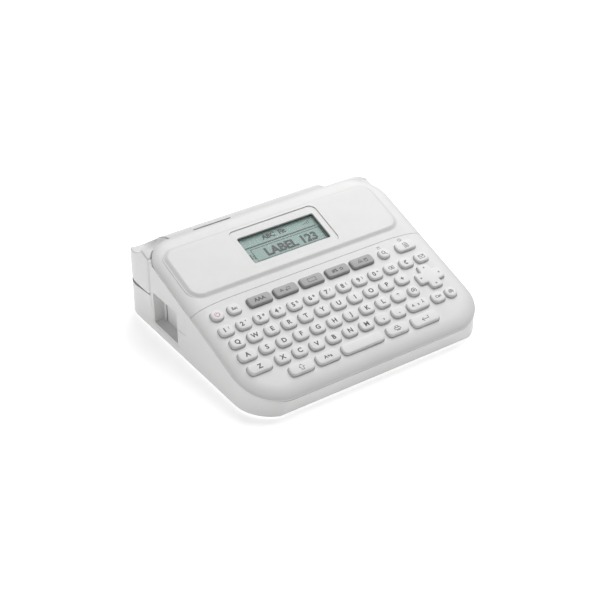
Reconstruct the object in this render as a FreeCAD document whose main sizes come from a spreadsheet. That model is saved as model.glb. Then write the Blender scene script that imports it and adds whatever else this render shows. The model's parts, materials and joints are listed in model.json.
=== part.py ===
import FreeCAD, Part
import math
import os
import Sketcher

# Desktop label maker. World frame: +X to the right of the keyboard, +Y to the rear, +Z up.
# The origin is the centre of the footprint, at the underside of the feet.
# The top panels and the keys are drawn in the deck frame: its XY plane is the tilted deck surface,
# its X is the world X and its Y climbs to the rear.

os.makedirs("parts", exist_ok=True)
doc = FreeCAD.newDocument("label_maker")
sheet = doc.addObject("Spreadsheet::Sheet", "dims")

DIMENSIONS = [
    # overall shell
    ("case_wide", 190.0), ("case_front", -89.0), ("case_back", 89.0), ("case_front_foot", -87.0),
    ("foot_high", 1.5), ("floor_thick", 2.2), ("wall", 2.4), ("front_round", 28.0), ("rear_round", 25.0),
    # deck
    ("deck_tilt", 18.33), ("deck_zero_y", -16.8), ("deck_zero_z", 39.8), ("panel_skirt", 3.6),
    ("panel_lip", 0.6), ("panel_roll", 10.0), ("panel_thick", 2.2), ("panel_low", -77.2),
    ("panel_high", 74.9), ("panel_back_y", 55.4), ("panel_round_front", 28.0),
    ("panel_round_right", 26.0), ("panel_round_left", 21.0), ("panel_split", 10.8), ("panel_gap", 0.2),
    ("panel_inset", 6.5),
    # raised plateau, display window and bezel
    ("plateau_left", -86.5), ("plateau_right", 84.5), ("plateau_low", 18.0), ("plateau_high", 64.0),
    ("plateau_rise", 1.2), ("plateau_round", 9.0), ("window_wide", 61.5), ("window_deep", 23.0),
    ("window_x", -0.3), ("window_s", 41.5), ("window_round", 1.2), ("bezel_wide", 72.0),
    ("bezel_deep", 37.2), ("bezel_x", 0.0), ("bezel_s", 42.1), ("bezel_sink", 0.6), ("bezel_round", 5.0),
    ("bezel_thick", 1.4), ("lens_thick", 0.8), ("lcd_thick", 2.2), ("lcd_margin", 3.0),
    ("lens_margin", 1.6),
    # keys
    ("key_rise", 2.0), ("key_root", -3.4), ("key_round", 3.4), ("key_crown", 0.9), ("key_gap", 0.35),
    ("flange_low", -3.5), ("flange_thick", 0.9), ("flange_wide", 0.6), ("key_pitch", 13.39),
    ("key_wide", 10.6), ("key_deep", 8.4), ("pad_reach", 11.2), ("pad_arm", 9.4), ("pad_corner", 2.4),
    ("pivot_ball", 2.0), ("mat_top", -4.65), ("mat_thick", 1.35), ("board_top", -6.2),
    ("board_thick", 1.6), ("board_wide", 168.0),
    # cassette cover and its hinge
    ("cover_round", 40.0), ("cover_mid_y", 49.0), ("cover_mid_z", 20.8), ("cover_wall", 2.4),
    ("cover_left", -71.1), ("cover_right", 58.1), ("cover_front_y", 55.9), ("side_gap", 0.3),
    ("finger_left", -52.0), ("finger_wide", 30.0), ("finger_deep", 2.4), ("hinge_y", 86.4),
    ("hinge_z", 24.2), ("knuckle_round", 2.4), ("lug_foot_reach", 1.8), ("lug_foot_low", 19.0),
    ("pin_round", 1.0), ("pin_play", 0.05),
    # cutter lever
    ("lever_left", -95.0), ("lever_right", -72.0), ("lever_tip_y", 46.0), ("lever_tip_z", 30.2),
    ("lever_low_z", 28.3), ("lever_gap", 0.8), ("lever_fall", 6.5), ("lever_pin_y", 51.0),
    ("lever_pin_z", 34.0), ("lever_pin_round", 1.5), ("lever_roof_round", 31.0), ("dish_round", 20.0),
    ("dish_y", 69.0), ("dish_z", 71.0), ("dish_x", -86.0), ("well_gap", 0.4), ("spring_y", 66.0),
    ("spring_x", -83.5),
    # tape exit
    ("exit_front", 10.0), ("exit_back", 41.0), ("exit_low", 9.0), ("exit_high", 33.0), ("exit_deep", 8.0),
    ("tub_wall", 1.8), ("slot_y", 37.6), ("slot_wide", 1.6), ("cover_leaf_front", -1.0),
    ("cover_leaf_low", 21.0),
    # base
    ("bay_left", -54.0), ("bay_wide", 108.0), ("bay_front", -46.0), ("bay_deep", 50.0),
    ("bay_ledge", 2.0), ("cell_round", 7.1), ("cell_long", 50.0), ("cell_low", 4.3), ("cell_pitch", 14.6),
    ("foot_round", 6.0), ("foot_x", 78.0), ("foot_front_y", -70.0), ("foot_rear_y", 72.0),
    ("foot_sunk", 1.0),
    # printing mechanism
    ("gear_low", 5.4), ("gear_thick", 3.2), ("chassis_low", 3.9), ("chassis_thick", 0.9),
    ("platen_x", -50.6), ("platen_y", 46.0), ("platen_round", 4.0), ("shaft_round", 1.5),
    ("idler_x", -35.6), ("idler_y", 38.0), ("motor_x", -22.0), ("motor_y", 44.3), ("motor_round", 7.9),
    ("spindle_x", -14.0), ("spindle_y", 65.9), ("arm_x", -62.0), ("arm_y", 60.0), ("head_x", -56.2),
    ("head_y", 48.9), ("cassette_left", -26.0), ("cassette_wide", 60.0), ("cassette_front", 58.0),
    ("cassette_deep", 25.0), ("cassette_low", 10.0), ("cassette_high", 36.0), ("cassette_wall", 1.5),
    ("spool_x", 18.0), ("spool_y", 70.5), ("spool_round", 10.4), ("blade_x", -84.2), ("blade_thick", 0.8),
    ("blade_front", 39.0), ("blade_deep", 4.2),
]

for row, (alias, number) in enumerate(DIMENSIONS, start=1):
    sheet.set("A%d" % row, alias)
    sheet.set("B%d" % row, str(number))
    sheet.setAlias("B%d" % row, alias)
doc.recompute()

FINISHED = []


def value(expression):
    """The number that an expression on the sheet gives."""
    return float(sheet.evalExpression(str(expression)))


def deck_z(y, below="0"):
    """World height of the plane that lies below the deck surface, at world y."""
    return ("(dims.deck_zero_z + (%s - dims.deck_zero_y) * tan(dims.deck_tilt)"
            " - (%s) / cos(dims.deck_tilt))" % (y, below))


DECK = FreeCAD.Placement(FreeCAD.Vector(0, value("dims.deck_zero_y"), value("dims.deck_zero_z")),
                         FreeCAD.Rotation(FreeCAD.Vector(1, 0, 0), value("dims.deck_tilt")))


def on_deck(x, s, rise=0.0):
    """Placement of a piece whose own origin stands at (x, s) on the deck surface."""
    return DECK.multiply(FreeCAD.Placement(FreeCAD.Vector(x, s, rise), FreeCAD.Rotation()))


def finish(item, label):
    """Name a finished sub-part and put it on the list to export."""
    item.Label = label
    FINISHED.append(item)
    return item


# ---------------------------------------------------------------- sketches and features

def new_body(name):
    return doc.addObject("PartDesign::Body", name)


def origin_feature(body, role):
    return [item for item in body.Origin.OriginFeatures if item.Role == role][0]


def new_sketch(body, name, plane="XY_Plane", x="0", y="0", z="0"):
    """A sketch on one of the body's origin planes, shifted in that plane's own directions."""
    sketch = body.newObject("Sketcher::SketchObject", name)
    sketch.AttachmentSupport = [(origin_feature(body, plane), "")]
    sketch.MapMode = "FlatFace"
    for axis, expression in zip("xyz", (x, y, z)):
        sketch.setExpression("AttachmentOffset.Base." + axis, str(expression))
    return sketch


def bind(sketch, kind, places, name, expression):
    """Add a driving constraint and tie it to the sheet."""
    index = sketch.addConstraint(Sketcher.Constraint(kind, *places, value(expression)))
    sketch.renameConstraint(index, name)
    sketch.setExpression("Constraints." + name, str(expression))


def draw_rounded(sketch, wide, deep, rounds):
    """Rectangle about the sketch's origin. rounds: front left, front right, back right, back left."""
    half_wide = value(wide) / 2
    half_deep = value(deep) / 2
    radius = [value(expression) for expression in rounds]
    corners = [(-1, -1), (1, -1), (1, 1), (-1, 1)]
    points = [FreeCAD.Vector(u * half_wide, v * half_deep, 0) for u, v in corners]
    for i in range(4):
        after = (i + 1) % 4
        along = (points[after] - points[i]).normalize()
        start = points[i] + along * radius[i]
        end = points[after] - along * radius[after]
        sketch.addGeometry(Part.LineSegment(start, end), False)
    for i, (u, v) in enumerate(corners):
        centre = points[i] - FreeCAD.Vector(u * radius[i], v * radius[i], 0)
        turn = math.pi + i * math.pi / 2
        circle = Part.Circle(centre, FreeCAD.Vector(0, 0, 1), radius[i])
        sketch.addGeometry(Part.ArcOfCircle(circle, turn, turn + math.pi / 2), False)
    for i in range(4):
        sketch.addConstraint(Sketcher.Constraint("Tangent", (i - 1) % 4, 2, 4 + i, 1))
        sketch.addConstraint(Sketcher.Constraint("Tangent", 4 + i, 2, i, 1))
        bind(sketch, "Radius", (4 + i,), "round_%d" % i, rounds[i])
    sketch.addConstraint(Sketcher.Constraint("Horizontal", 0))
    sketch.addConstraint(Sketcher.Constraint("Vertical", 1))
    bind(sketch, "DistanceX", (3, 1, 1, 1), "wide", wide)
    bind(sketch, "DistanceY", (0, 1, 2, 1), "deep", deep)
    bind(sketch, "DistanceX", (-1, 1, 1, 1), "half_wide", "(%s) / 2" % wide)
    bind(sketch, "DistanceY", (-1, 1, 2, 1), "half_deep", "(%s) / 2" % deep)


def draw_polygon(sketch, corners, bulge=None):
    """Closed outline through corners. bulge (side, centre, radius) turns one side into an arc."""
    points = [FreeCAD.Vector(value(u), value(v), 0) for u, v in corners]
    count = len(points)
    for i in range(count):
        start = points[i]
        end = points[(i + 1) % count]
        if bulge and bulge[0] == i:
            centre = FreeCAD.Vector(value(bulge[1][0]), value(bulge[1][1]), 0)
            middle = centre + (start + end - centre * 2).normalize() * value(bulge[2])
            sketch.addGeometry(Part.Arc(start, middle, end), False)
        else:
            sketch.addGeometry(Part.LineSegment(start, end), False)
    for i in range(count):
        sketch.addConstraint(Sketcher.Constraint("Coincident", i, 2, (i + 1) % count, 1))
        if not bulge or bulge[0] != i:
            bind(sketch, "DistanceX", (-1, 1, i, 1), "u_%d" % i, corners[i][0])
            bind(sketch, "DistanceY", (-1, 1, i, 1), "v_%d" % i, corners[i][1])
    if bulge:
        before = bulge[0] - 1
        bind(sketch, "DistanceX", (-1, 1, before, 2), "u_arc", corners[bulge[0]][0])
        bind(sketch, "DistanceY", (-1, 1, before, 2), "v_arc", corners[bulge[0]][1])
        bind(sketch, "Radius", (bulge[0],), "arc_round", bulge[2])


def draw_circle(sketch, radius):
    sketch.addGeometry(Part.Circle(FreeCAD.Vector(0, 0, 0), FreeCAD.Vector(0, 0, 1), value(radius)), False)
    sketch.addConstraint(Sketcher.Constraint("Coincident", 0, 3, -1, 1))
    bind(sketch, "Radius", (0,), "radius", radius)


def extrude(body, kind, sketch, length, midplane=False, down=False):
    feature = body.newObject("PartDesign::" + kind, kind.lower())
    feature.Profile = sketch
    feature.setExpression("Length", str(length))
    feature.Midplane = midplane
    feature.Reversed = down
    return feature


def edges_at_height(shape, height):
    """Names of the edges that lie wholly at one height."""
    names = []
    for i, edge in enumerate(shape.Edges):
        if all(abs(vertex.Z - height) < 1e-5 for vertex in edge.Vertexes):
            names.append("Edge%d" % (i + 1))
    return names



def fillet(body, base, names, radius):
    feature = body.newObject("PartDesign::Fillet", "rounding")
    feature.Base = (base, names)
    feature.setExpression("Radius", str(radius))
    return feature


def box(name, low, size):
    item = doc.addObject("Part::Box", name)
    for axis, expression in zip("xyz", low):
        item.setExpression("Placement.Base." + axis, str(expression))
    for side, expression in zip(("Length", "Width", "Height"), size):
        item.setExpression(side, str(expression))
    return item


AXES = {"z": FreeCAD.Rotation(), "x": FreeCAD.Rotation(FreeCAD.Vector(0, 1, 0), 90),
        "y": FreeCAD.Rotation(FreeCAD.Vector(1, 0, 0), -90)}


def cylinder(name, low, radius, long, axis="z"):
    """Cylinder that starts at low and runs along +axis."""
    item = doc.addObject("Part::Cylinder", name)
    item.Placement = FreeCAD.Placement(FreeCAD.Vector(), AXES[axis])
    for direction, expression in zip("xyz", low):
        item.setExpression("Placement.Base." + direction, str(expression))
    item.setExpression("Radius", str(radius))
    item.setExpression("Height", str(long))
    return item


def fuse(name, items):
    if len(items) == 1:
        return items[0]
    item = doc.addObject("Part::MultiFuse", name)
    item.Shapes = items
    item.Refine = True
    return item


def cut(name, base, tools):
    item = doc.addObject("Part::Cut", name)
    item.Base = base
    item.Tool = fuse(name + "_tools", tools)
    item.Refine = True
    return item


def common(name, items):
    item = doc.addObject("Part::MultiCommon", name)
    item.Shapes = items
    item.Refine = True
    return item


def shaped(name, shape, placement=None):
    """A feature for a form that no sketch or primitive gives directly."""
    item = doc.addObject("Part::Feature", name)
    item.Shape = shape
    if placement:
        item.Placement = placement
    return item


# ---------------------------------------------------------------- keys

# name, x, s, width, depth, corner radius, copies
KEYS = [
    ("power_key", -79.8, 0.0, "9.2", "8.8", "4.3", 1),
    ("escape_key", -66.5, 0.0, "9.6", "8.4", "3.4", 1),
    ("function_key_1", -46.6, 0.2, "18.2", "8.2", "2.4", 1),
    ("function_key_2", -25.8, 0.2, "18.2", "8.2", "2.0", 1),
    ("function_key_3", -4.5, 0.2, "18.2", "8.2", "2.0", 1),
    ("function_key_4", 16.7, 0.2, "18.2", "8.2", "2.0", 1),
    ("function_key_5", 37.5, 0.2, "18.2", "8.2", "2.4", 1),
    ("search_key", 56.6, 0.0, "8.6", "8.2", "4.0", 1),
    ("document_key", 75.2, 0.0, "16.0", "8.4", "3.4", 1),
    ("backspace_key", 52.9, -13.65, "dims.key_wide", "dims.key_deep", "dims.key_round", 1),
    ("symbol_key", 66.2, -13.65, "dims.key_wide", "dims.key_deep", "dims.key_round", 1),
    ("mode_key", 79.4, -13.65, "dims.key_wide", "dims.key_deep", "dims.key_round", 1),
    ("extra_key", 55.6, -37.2, "8.8", "8.4", "4.1", 1),
    ("accent_key", 51.1, -48.6, "17.2", "dims.key_deep", "dims.key_round", 1),
    ("control_key", 68.3, -48.9, "10.4", "dims.key_deep", "dims.key_round", 1),
    ("option_key", 79.4, -48.9, "9.0", "8.6", "4.2", 1),
    ("shift_key", -52.3, -60.3, "18.4", "dims.key_deep", "dims.key_round", 1),
    ("character_key", -31.6, -60.3, "18.0", "dims.key_deep", "dims.key_round", 1),
    ("space_key", -3.6, -60.3, "33.2", "dims.key_deep", "dims.key_round", 1),
    ("print_key", 25.0, -60.3, "17.2", "dims.key_deep", "dims.key_round", 1),
    ("enter_key", 48.0, -60.9, "22.0", "9.0", "dims.key_round", 1),
    ("digit_keys", -80.88, -13.65, "dims.key_wide", "dims.key_deep", "dims.key_round", 10),
    ("top_letter_keys", -79.54, -25.24, "dims.key_wide", "dims.key_deep", "dims.key_round", 11),
    ("home_letter_keys", -64.14, -36.83, "dims.key_wide", "dims.key_deep", "dims.key_round", 9),
    ("low_letter_keys", -59.19, -48.42, "dims.key_wide", "dims.key_deep", "dims.key_round", 8),
]
# The first letter of the two lower letter rows has a wide key of its own in the same row group.
WIDE_LETTERS = {"home_letter_keys": (-79.1, "13.2"), "low_letter_keys": (-76.8, "17.6")}


def key_solid(body, wide, deep, corner):
    """One key cap with its retaining flange, drawn about the body's origin. Returns its features."""
    cap_outline = new_sketch(body, "cap_outline", z="dims.key_root")
    draw_rounded(cap_outline, wide, deep, [corner] * 4)
    cap = extrude(body, "Pad", cap_outline, "dims.key_rise - dims.key_root")
    doc.recompute()
    crown = fillet(body, cap, edges_at_height(cap.Shape, value("dims.key_rise")), "dims.key_crown")
    flange_outline = new_sketch(body, "flange_outline", z="dims.flange_low")
    draw_rounded(flange_outline, "%s + 2 * dims.flange_wide" % wide, "%s + 2 * dims.flange_wide" % deep,
                 ["%s + dims.flange_wide" % corner] * 4)
    flange = extrude(body, "Pad", flange_outline, "dims.flange_thick")
    return [cap, crown, flange]


def repeat_along_x(body, features, count):
    """Copies of one key at the key pitch."""
    pattern = body.newObject("PartDesign::LinearPattern", "row")
    pattern.Originals = features
    pattern.Direction = (origin_feature(body, "X_Axis"), [""])
    pattern.setExpression("Length", "dims.key_pitch * %d" % (count - 1))
    pattern.Occurrences = count
    body.Tip = pattern


def key_hole(wide, deep, corner):
    """Prism of the opening that one key moves in, about its own origin."""
    gap = value("dims.key_gap")
    half_wide = value(wide) / 2 + gap
    half_deep = value(deep) / 2 + gap
    radius = value(corner) + gap
    lift = value("dims.panel_skirt") + 3
    prism = Part.makeBox(half_wide * 2, half_deep * 2, lift,
                         FreeCAD.Vector(-half_wide, -half_deep, -lift + 2))
    uprights = [edge for edge in prism.Edges if abs(edge.Vertexes[0].Z - edge.Vertexes[-1].Z) > 1]
    return prism.makeFillet(radius, uprights)


def build_keys():
    """Every key and key row, and the list of openings that the keyboard panel needs."""
    holes = []
    for name, x, s, wide, deep, corner, count in KEYS:
        body = new_body(name + "_cap")
        features = key_solid(body, wide, deep, corner)
        if count > 1:
            repeat_along_x(body, features, count)
        piece = body
        hole = key_hole(wide, deep, corner)
        for i in range(count):
            holes.append(hole.translated(FreeCAD.Vector(x + i * value("dims.key_pitch"), s, 0)))
        body.Placement = on_deck(x, s)
        if name in WIDE_LETTERS:
            wide_x, wide_wide = WIDE_LETTERS[name]
            first = new_body(name + "_first")
            key_solid(first, wide_wide, deep, corner)
            first.Placement = on_deck(wide_x, s)
            holes.append(key_hole(wide_wide, deep, corner).translated(FreeCAD.Vector(wide_x, s, 0)))
            piece = doc.addObject("Part::Compound", name + "_row")
            piece.Links = [first, body]
        finish(piece, name)
    return holes


PAD_X, PAD_S = 74.5, -30.6


def cross_prism(reach, arm, corner, low, high):
    """Plus-shaped prism with rounded outer corners."""
    bars = []
    for wide, deep in ((reach, arm / 2), (arm / 2, reach)):
        bar = Part.makeBox(wide * 2, deep * 2, high - low, FreeCAD.Vector(-wide, -deep, low))
        uprights = [edge for edge in bar.Edges if abs(edge.Vertexes[0].Z - edge.Vertexes[-1].Z) > 1]
        bars.append(bar.makeFillet(corner, uprights))
    return bars[0].fuse(bars[1]).removeSplitter()


def build_direction_pad():
    """Cross-shaped pad that rocks two ways on a hidden pivot piece."""
    reach = value("dims.pad_reach")
    arm = value("dims.pad_arm")
    corner = value("dims.pad_corner")
    root = value("dims.key_root") + 1.2
    top = value("dims.key_rise")
    cap = cross_prism(reach, arm, corner, root, top)
    crown = [edge for edge in cap.Edges if all(abs(vertex.Z - top) < 1e-6 for vertex in edge.Vertexes)]
    cap = cap.makeFillet(0.8, crown)
    socket = Part.makeSphere(value("dims.pivot_ball") + 0.08, FreeCAD.Vector(0, 0, root - 0.4))
    finish(shaped("direction_pad", cap.cut(socket), on_deck(PAD_X, PAD_S)), "direction_pad")
    ball = Part.makeSphere(value("dims.pivot_ball"), FreeCAD.Vector(0, 0, root - 0.4))
    mat_top = value("dims.mat_top")
    stem = Part.makeCylinder(1.2, root - 0.4 - mat_top - 0.05, FreeCAD.Vector(0, 0, mat_top + 0.05))
    finish(shaped("pad_pivot", ball.fuse(stem), on_deck(PAD_X, PAD_S)), "pad_pivot")
    gap = value("dims.key_gap") + 0.15
    hole = cross_prism(reach + gap, arm + 2 * gap, corner + gap, -value("dims.panel_skirt") - 1, 2)
    return hole.translated(FreeCAD.Vector(PAD_X, PAD_S, 0))


# ---------------------------------------------------------------- top panels

PANEL_ROUNDS = ["dims.panel_round_front", "dims.panel_round_front", "dims.panel_round_right",
                "dims.panel_round_left"]


def panel_blank(name):
    """Whole top shell as one loft with rolled sides, in the deck frame."""
    body = new_body(name)
    middle = "(dims.panel_low + dims.panel_high) / 2"
    lip_level = "dims.panel_lip - dims.panel_skirt"
    outline = new_sketch(body, "seam_outline", y=middle, z="-dims.panel_skirt")
    draw_rounded(outline, "dims.case_wide", "dims.panel_high - dims.panel_low", PANEL_ROUNDS)
    extrude(body, "Pad", outline, "dims.panel_lip")
    lip = new_sketch(body, "lip_outline", y=middle, z=lip_level)
    draw_rounded(lip, "dims.case_wide", "dims.panel_high - dims.panel_low", PANEL_ROUNDS)
    crest = new_sketch(body, "crest_outline", y=middle, z="0")
    draw_rounded(crest, "dims.case_wide - 2 * dims.panel_roll",
                 "dims.panel_high - dims.panel_low - 2 * dims.panel_roll",
                 [corner + " - dims.panel_roll" for corner in PANEL_ROUNDS])
    roll = body.newObject("PartDesign::AdditiveLoft", "roll")
    roll.Profile = lip
    roll.Sections = [crest]
    roll.Ruled = True
    doc.recompute()
    return body


def deck_pocket(body, name, centre, size, top, deep, rounds=None):
    """Rectangular pocket in the deck frame, cut downward from top."""
    sketch = new_sketch(body, name, x=centre[0], y=centre[1], z=top)
    draw_rounded(sketch, size[0], size[1], rounds or ["0.5"] * 4)
    before = body.Shape.Volume if body.Shape.Solids else 0
    pocket = extrude(body, "Pocket", sketch, deep)
    doc.recompute()
    assert not before or pocket.Shape.Volume < before, name + " cuts nothing"
    return pocket


def split_panel(body, keep_front):
    """Remove the half of the top shell that lies beyond the seam between the two panels."""
    low = "dims.panel_split" if keep_front else "dims.panel_low - 5"
    high = "dims.panel_high + 5" if keep_front else "dims.panel_split + dims.panel_gap"
    deck_pocket(body, "other_half", ("0", "(%s + %s) / 2" % (low, high)),
                ("dims.case_wide + 10", "%s - (%s)" % (high, low)), "5", "20")


def hollow_panel(body, low, high):
    """Clear the underside for the flanges, the lens and the display."""
    sketch_deep = "dims.panel_skirt - dims.panel_thick"
    deck_pocket(body, "underside", ("0", "(%s + %s) / 2" % (low, high)),
                ("dims.case_wide - 2 * dims.panel_inset", "%s - (%s)" % (high, low)),
                "-dims.panel_thick", sketch_deep + " + 1", ["18"] * 4)


def build_keyboard_panel(holes):
    body = panel_blank("keyboard_blank")
    split_panel(body, True)
    hollow_panel(body, "dims.panel_low + dims.panel_inset", "dims.panel_split + 20")
    body.Placement = DECK
    openings = shaped("key_openings", Part.makeCompound(holes), DECK)
    finish(cut("keyboard_panel", body, [openings]), "keyboard_panel")


def build_display_panel():
    body = panel_blank("display_panel")
    plateau = new_sketch(body, "plateau", x="(dims.plateau_left + dims.plateau_right) / 2",
                         y="(dims.plateau_low + dims.plateau_high) / 2", z="-dims.plateau_rise")
    draw_rounded(plateau, "dims.plateau_right - dims.plateau_left", "dims.plateau_high - dims.plateau_low",
                 ["dims.plateau_round"] * 4)
    rise = extrude(body, "Pad", plateau, "dims.plateau_rise * 2")
    doc.recompute()
    fillet(body, rise, edges_at_height(rise.Shape, value("dims.plateau_rise")), "dims.plateau_rise * 0.8")
    split_panel(body, False)
    hollow_panel(body, "dims.panel_split - 20", "dims.panel_high - dims.panel_inset")
    deck_pocket(body, "bezel_seat", ("dims.bezel_x", "dims.bezel_s"),
                ("dims.bezel_wide + 0.3", "dims.bezel_deep + 0.3"), "dims.plateau_rise + 1",
                "dims.bezel_sink + dims.bezel_thick + 1", ["dims.bezel_round"] * 4)
    deck_pocket(body, "window", ("dims.window_x", "dims.window_s"),
                ("dims.window_wide + 6", "dims.window_deep + 6"),
                "5", "20", ["3"] * 4)
    body.Placement = DECK
    finish(body, "display_panel")


def deck_plate(name, centre, size, top, thick, rounds):
    """Flat rounded plate in the deck frame."""
    body = new_body(name)
    sketch = new_sketch(body, "outline", x=centre[0], y=centre[1], z="%s - (%s)" % (top, thick))
    draw_rounded(sketch, size[0], size[1], rounds)
    extrude(body, "Pad", sketch, thick)
    doc.recompute()
    body.Placement = DECK
    return body


def build_display():
    """Bezel ring, clear lens and the LCD module under it."""
    bezel_top = "(dims.plateau_rise - dims.bezel_sink)"
    bezel = deck_plate("display_bezel", ("dims.bezel_x", "dims.bezel_s"),
                       ("dims.bezel_wide", "dims.bezel_deep"),
                       bezel_top, "dims.bezel_thick", ["dims.bezel_round"] * 4)
    deck_pocket(bezel, "window", ("dims.window_x", "dims.window_s"),
                ("dims.window_wide", "dims.window_deep"),
                "5", "20", ["dims.window_round"] * 4)
    bezel.Placement = DECK
    finish(bezel, "display_bezel")
    lens_top = "(%s - dims.bezel_thick - 0.02)" % bezel_top
    lens = deck_plate("display_lens", ("dims.window_x", "dims.window_s"),
                      ("dims.window_wide + 2 * dims.lens_margin",
                       "dims.window_deep + 2 * dims.lens_margin"),
                      lens_top, "dims.lens_thick", ["1"] * 4)
    finish(lens, "display_lens")
    lcd = deck_plate("lcd_panel", ("dims.window_x", "dims.window_s"),
                     ("dims.window_wide + 2 * dims.lens_margin", "dims.window_deep + 2 * dims.lens_margin"),
                     lens_top + " - dims.lens_thick - 0.6", "dims.lcd_thick", ["0.5"] * 4)
    finish(lcd, "lcd_panel")


def build_boards():
    """Rubber key mat and the circuit board under it, both parallel to the deck."""
    mat = deck_plate("keypad_mat", ("0", "-30"), ("dims.board_wide + 4", "76"), "dims.mat_top",
                     "dims.mat_thick",
                     ["4"] * 4)
    finish(mat, "keypad_mat")
    board = deck_plate("main_board", ("0", "-16"), ("dims.board_wide", "104"), "dims.board_top",
                       "dims.board_thick", ["4"] * 4)
    finish(board, "main_board")


# ---------------------------------------------------------------- lower case

def plan_prism(name, inset, low, high):
    """Footprint of the case as an upright prism, drawn in by inset."""
    body = new_body(name)
    sketch = new_sketch(body, "footprint", z=low)
    front = "(dims.front_round - %s)" % inset
    rear = "(dims.rear_round - %s)" % inset
    draw_rounded(sketch, "dims.case_wide - 2 * %s" % inset,
                 "dims.case_back - dims.case_front - 2 * %s" % inset,
                 [front, front, rear, rear])
    extrude(body, "Pad", sketch, "%s - %s" % (high, low))
    return body


def side_body(name, corners, half_wide, bulge=None):
    """Side profile in the YZ plane, spread evenly to both sides of the middle."""
    body = new_body(name)
    sketch = new_sketch(body, "side_profile", "YZ_Plane")
    draw_polygon(sketch, corners, bulge)
    extrude(body, "Pad", sketch, "2 * (%s)" % half_wide, midplane=True)
    return body


def arc_y(height, radius):
    """World y of the rear arc at a height."""
    return "(dims.cover_mid_y + sqrt((%s)^2 - (%s - dims.cover_mid_z)^2))" % (radius, height)


def arc_z(y, radius):
    return "(dims.cover_mid_z + sqrt((%s)^2 - (%s - dims.cover_mid_y)^2))" % (radius, y)


def case_volume(name, inset, low):
    """The whole lower body, or its hollow when inset is not zero."""
    radius = "(dims.cover_round - %s)" % inset
    seam_front = "(dims.case_front + %s)" % inset
    over = "0" if inset == "0" else "6"
    front = side_body(name + "_front", [
        ("dims.case_front_foot + %s" % inset, low),
        (seam_front, deck_z(seam_front, "dims.panel_skirt") + " + " + over),
        ("dims.panel_back_y", deck_z("dims.panel_back_y", "dims.panel_skirt") + " + " + over),
        ("dims.panel_back_y", low)], "dims.case_wide / 2")
    rear = side_body(name + "_rear", [
        ("dims.panel_back_y - 0.5", low),
        (arc_y("dims.cover_mid_z", radius), low),
        (arc_y("dims.cover_mid_z", radius), "dims.cover_mid_z"),
        ("dims.panel_back_y", arc_z("dims.panel_back_y", radius)),
        ("dims.panel_back_y - 0.5", arc_z("dims.panel_back_y", radius) + " - 1")], "dims.case_wide / 2",
        (2, ("dims.cover_mid_y", "dims.cover_mid_z"), radius))
    if inset != "0":
        front = common(name + "_under_panel", [front, panel_prism(name + "_panel", "-" + inset)])
    both = fuse(name + "_sides", [front, rear])
    return common(name, [both, plan_prism(name + "_plan", inset, low, "80")])


def panel_prism(name, grow):
    """Footprint of the top panels as an upright prism, grown outward by grow."""
    body = new_body(name)
    sketch = new_sketch(body, "panel_footprint", y="(dims.case_front + dims.panel_back_y) / 2")
    draw_rounded(sketch, "dims.case_wide + 2 * (%s)" % grow,
                 "dims.panel_back_y - dims.case_front + 2 * (%s)" % grow,
                 ["%s + %s" % (corner, grow) for corner in PANEL_ROUNDS])
    extrude(body, "Pad", sketch, "80")
    return body


def well_plane(y, drop="0"):
    """Height of the sloping floor under the cutter lever."""
    return "(dims.lever_low_z - (%s - dims.lever_pin_y) * tan(dims.lever_fall) - dims.well_gap - %s)" % (y, drop)


def lever_well(name, right, front, drop):
    """Space above the sloping floor under the lever, as a solid."""
    body = new_body(name)
    sketch = new_sketch(body, "well_side", "YZ_Plane", z="-dims.case_wide / 2 - 1")
    draw_polygon(sketch, [(front, well_plane(front, drop)), (front, "80"), ("dims.case_back + 2", "80"),
                          ("dims.case_back + 2", well_plane("dims.case_back + 2", drop))])
    extrude(body, "Pad", sketch, "%s + dims.case_wide / 2 + 1" % right)
    return body


def hinge_cylinder(name, left, long, radius):
    return cylinder(name, (left, "dims.hinge_y", "dims.hinge_z"), radius, long, "x")


LUGS = [("dims.cover_left + 0.2", "6"), ("-44", "74"), ("dims.cover_right - 6.2", "6")]
LUG_GAP = "0.3"


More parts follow.
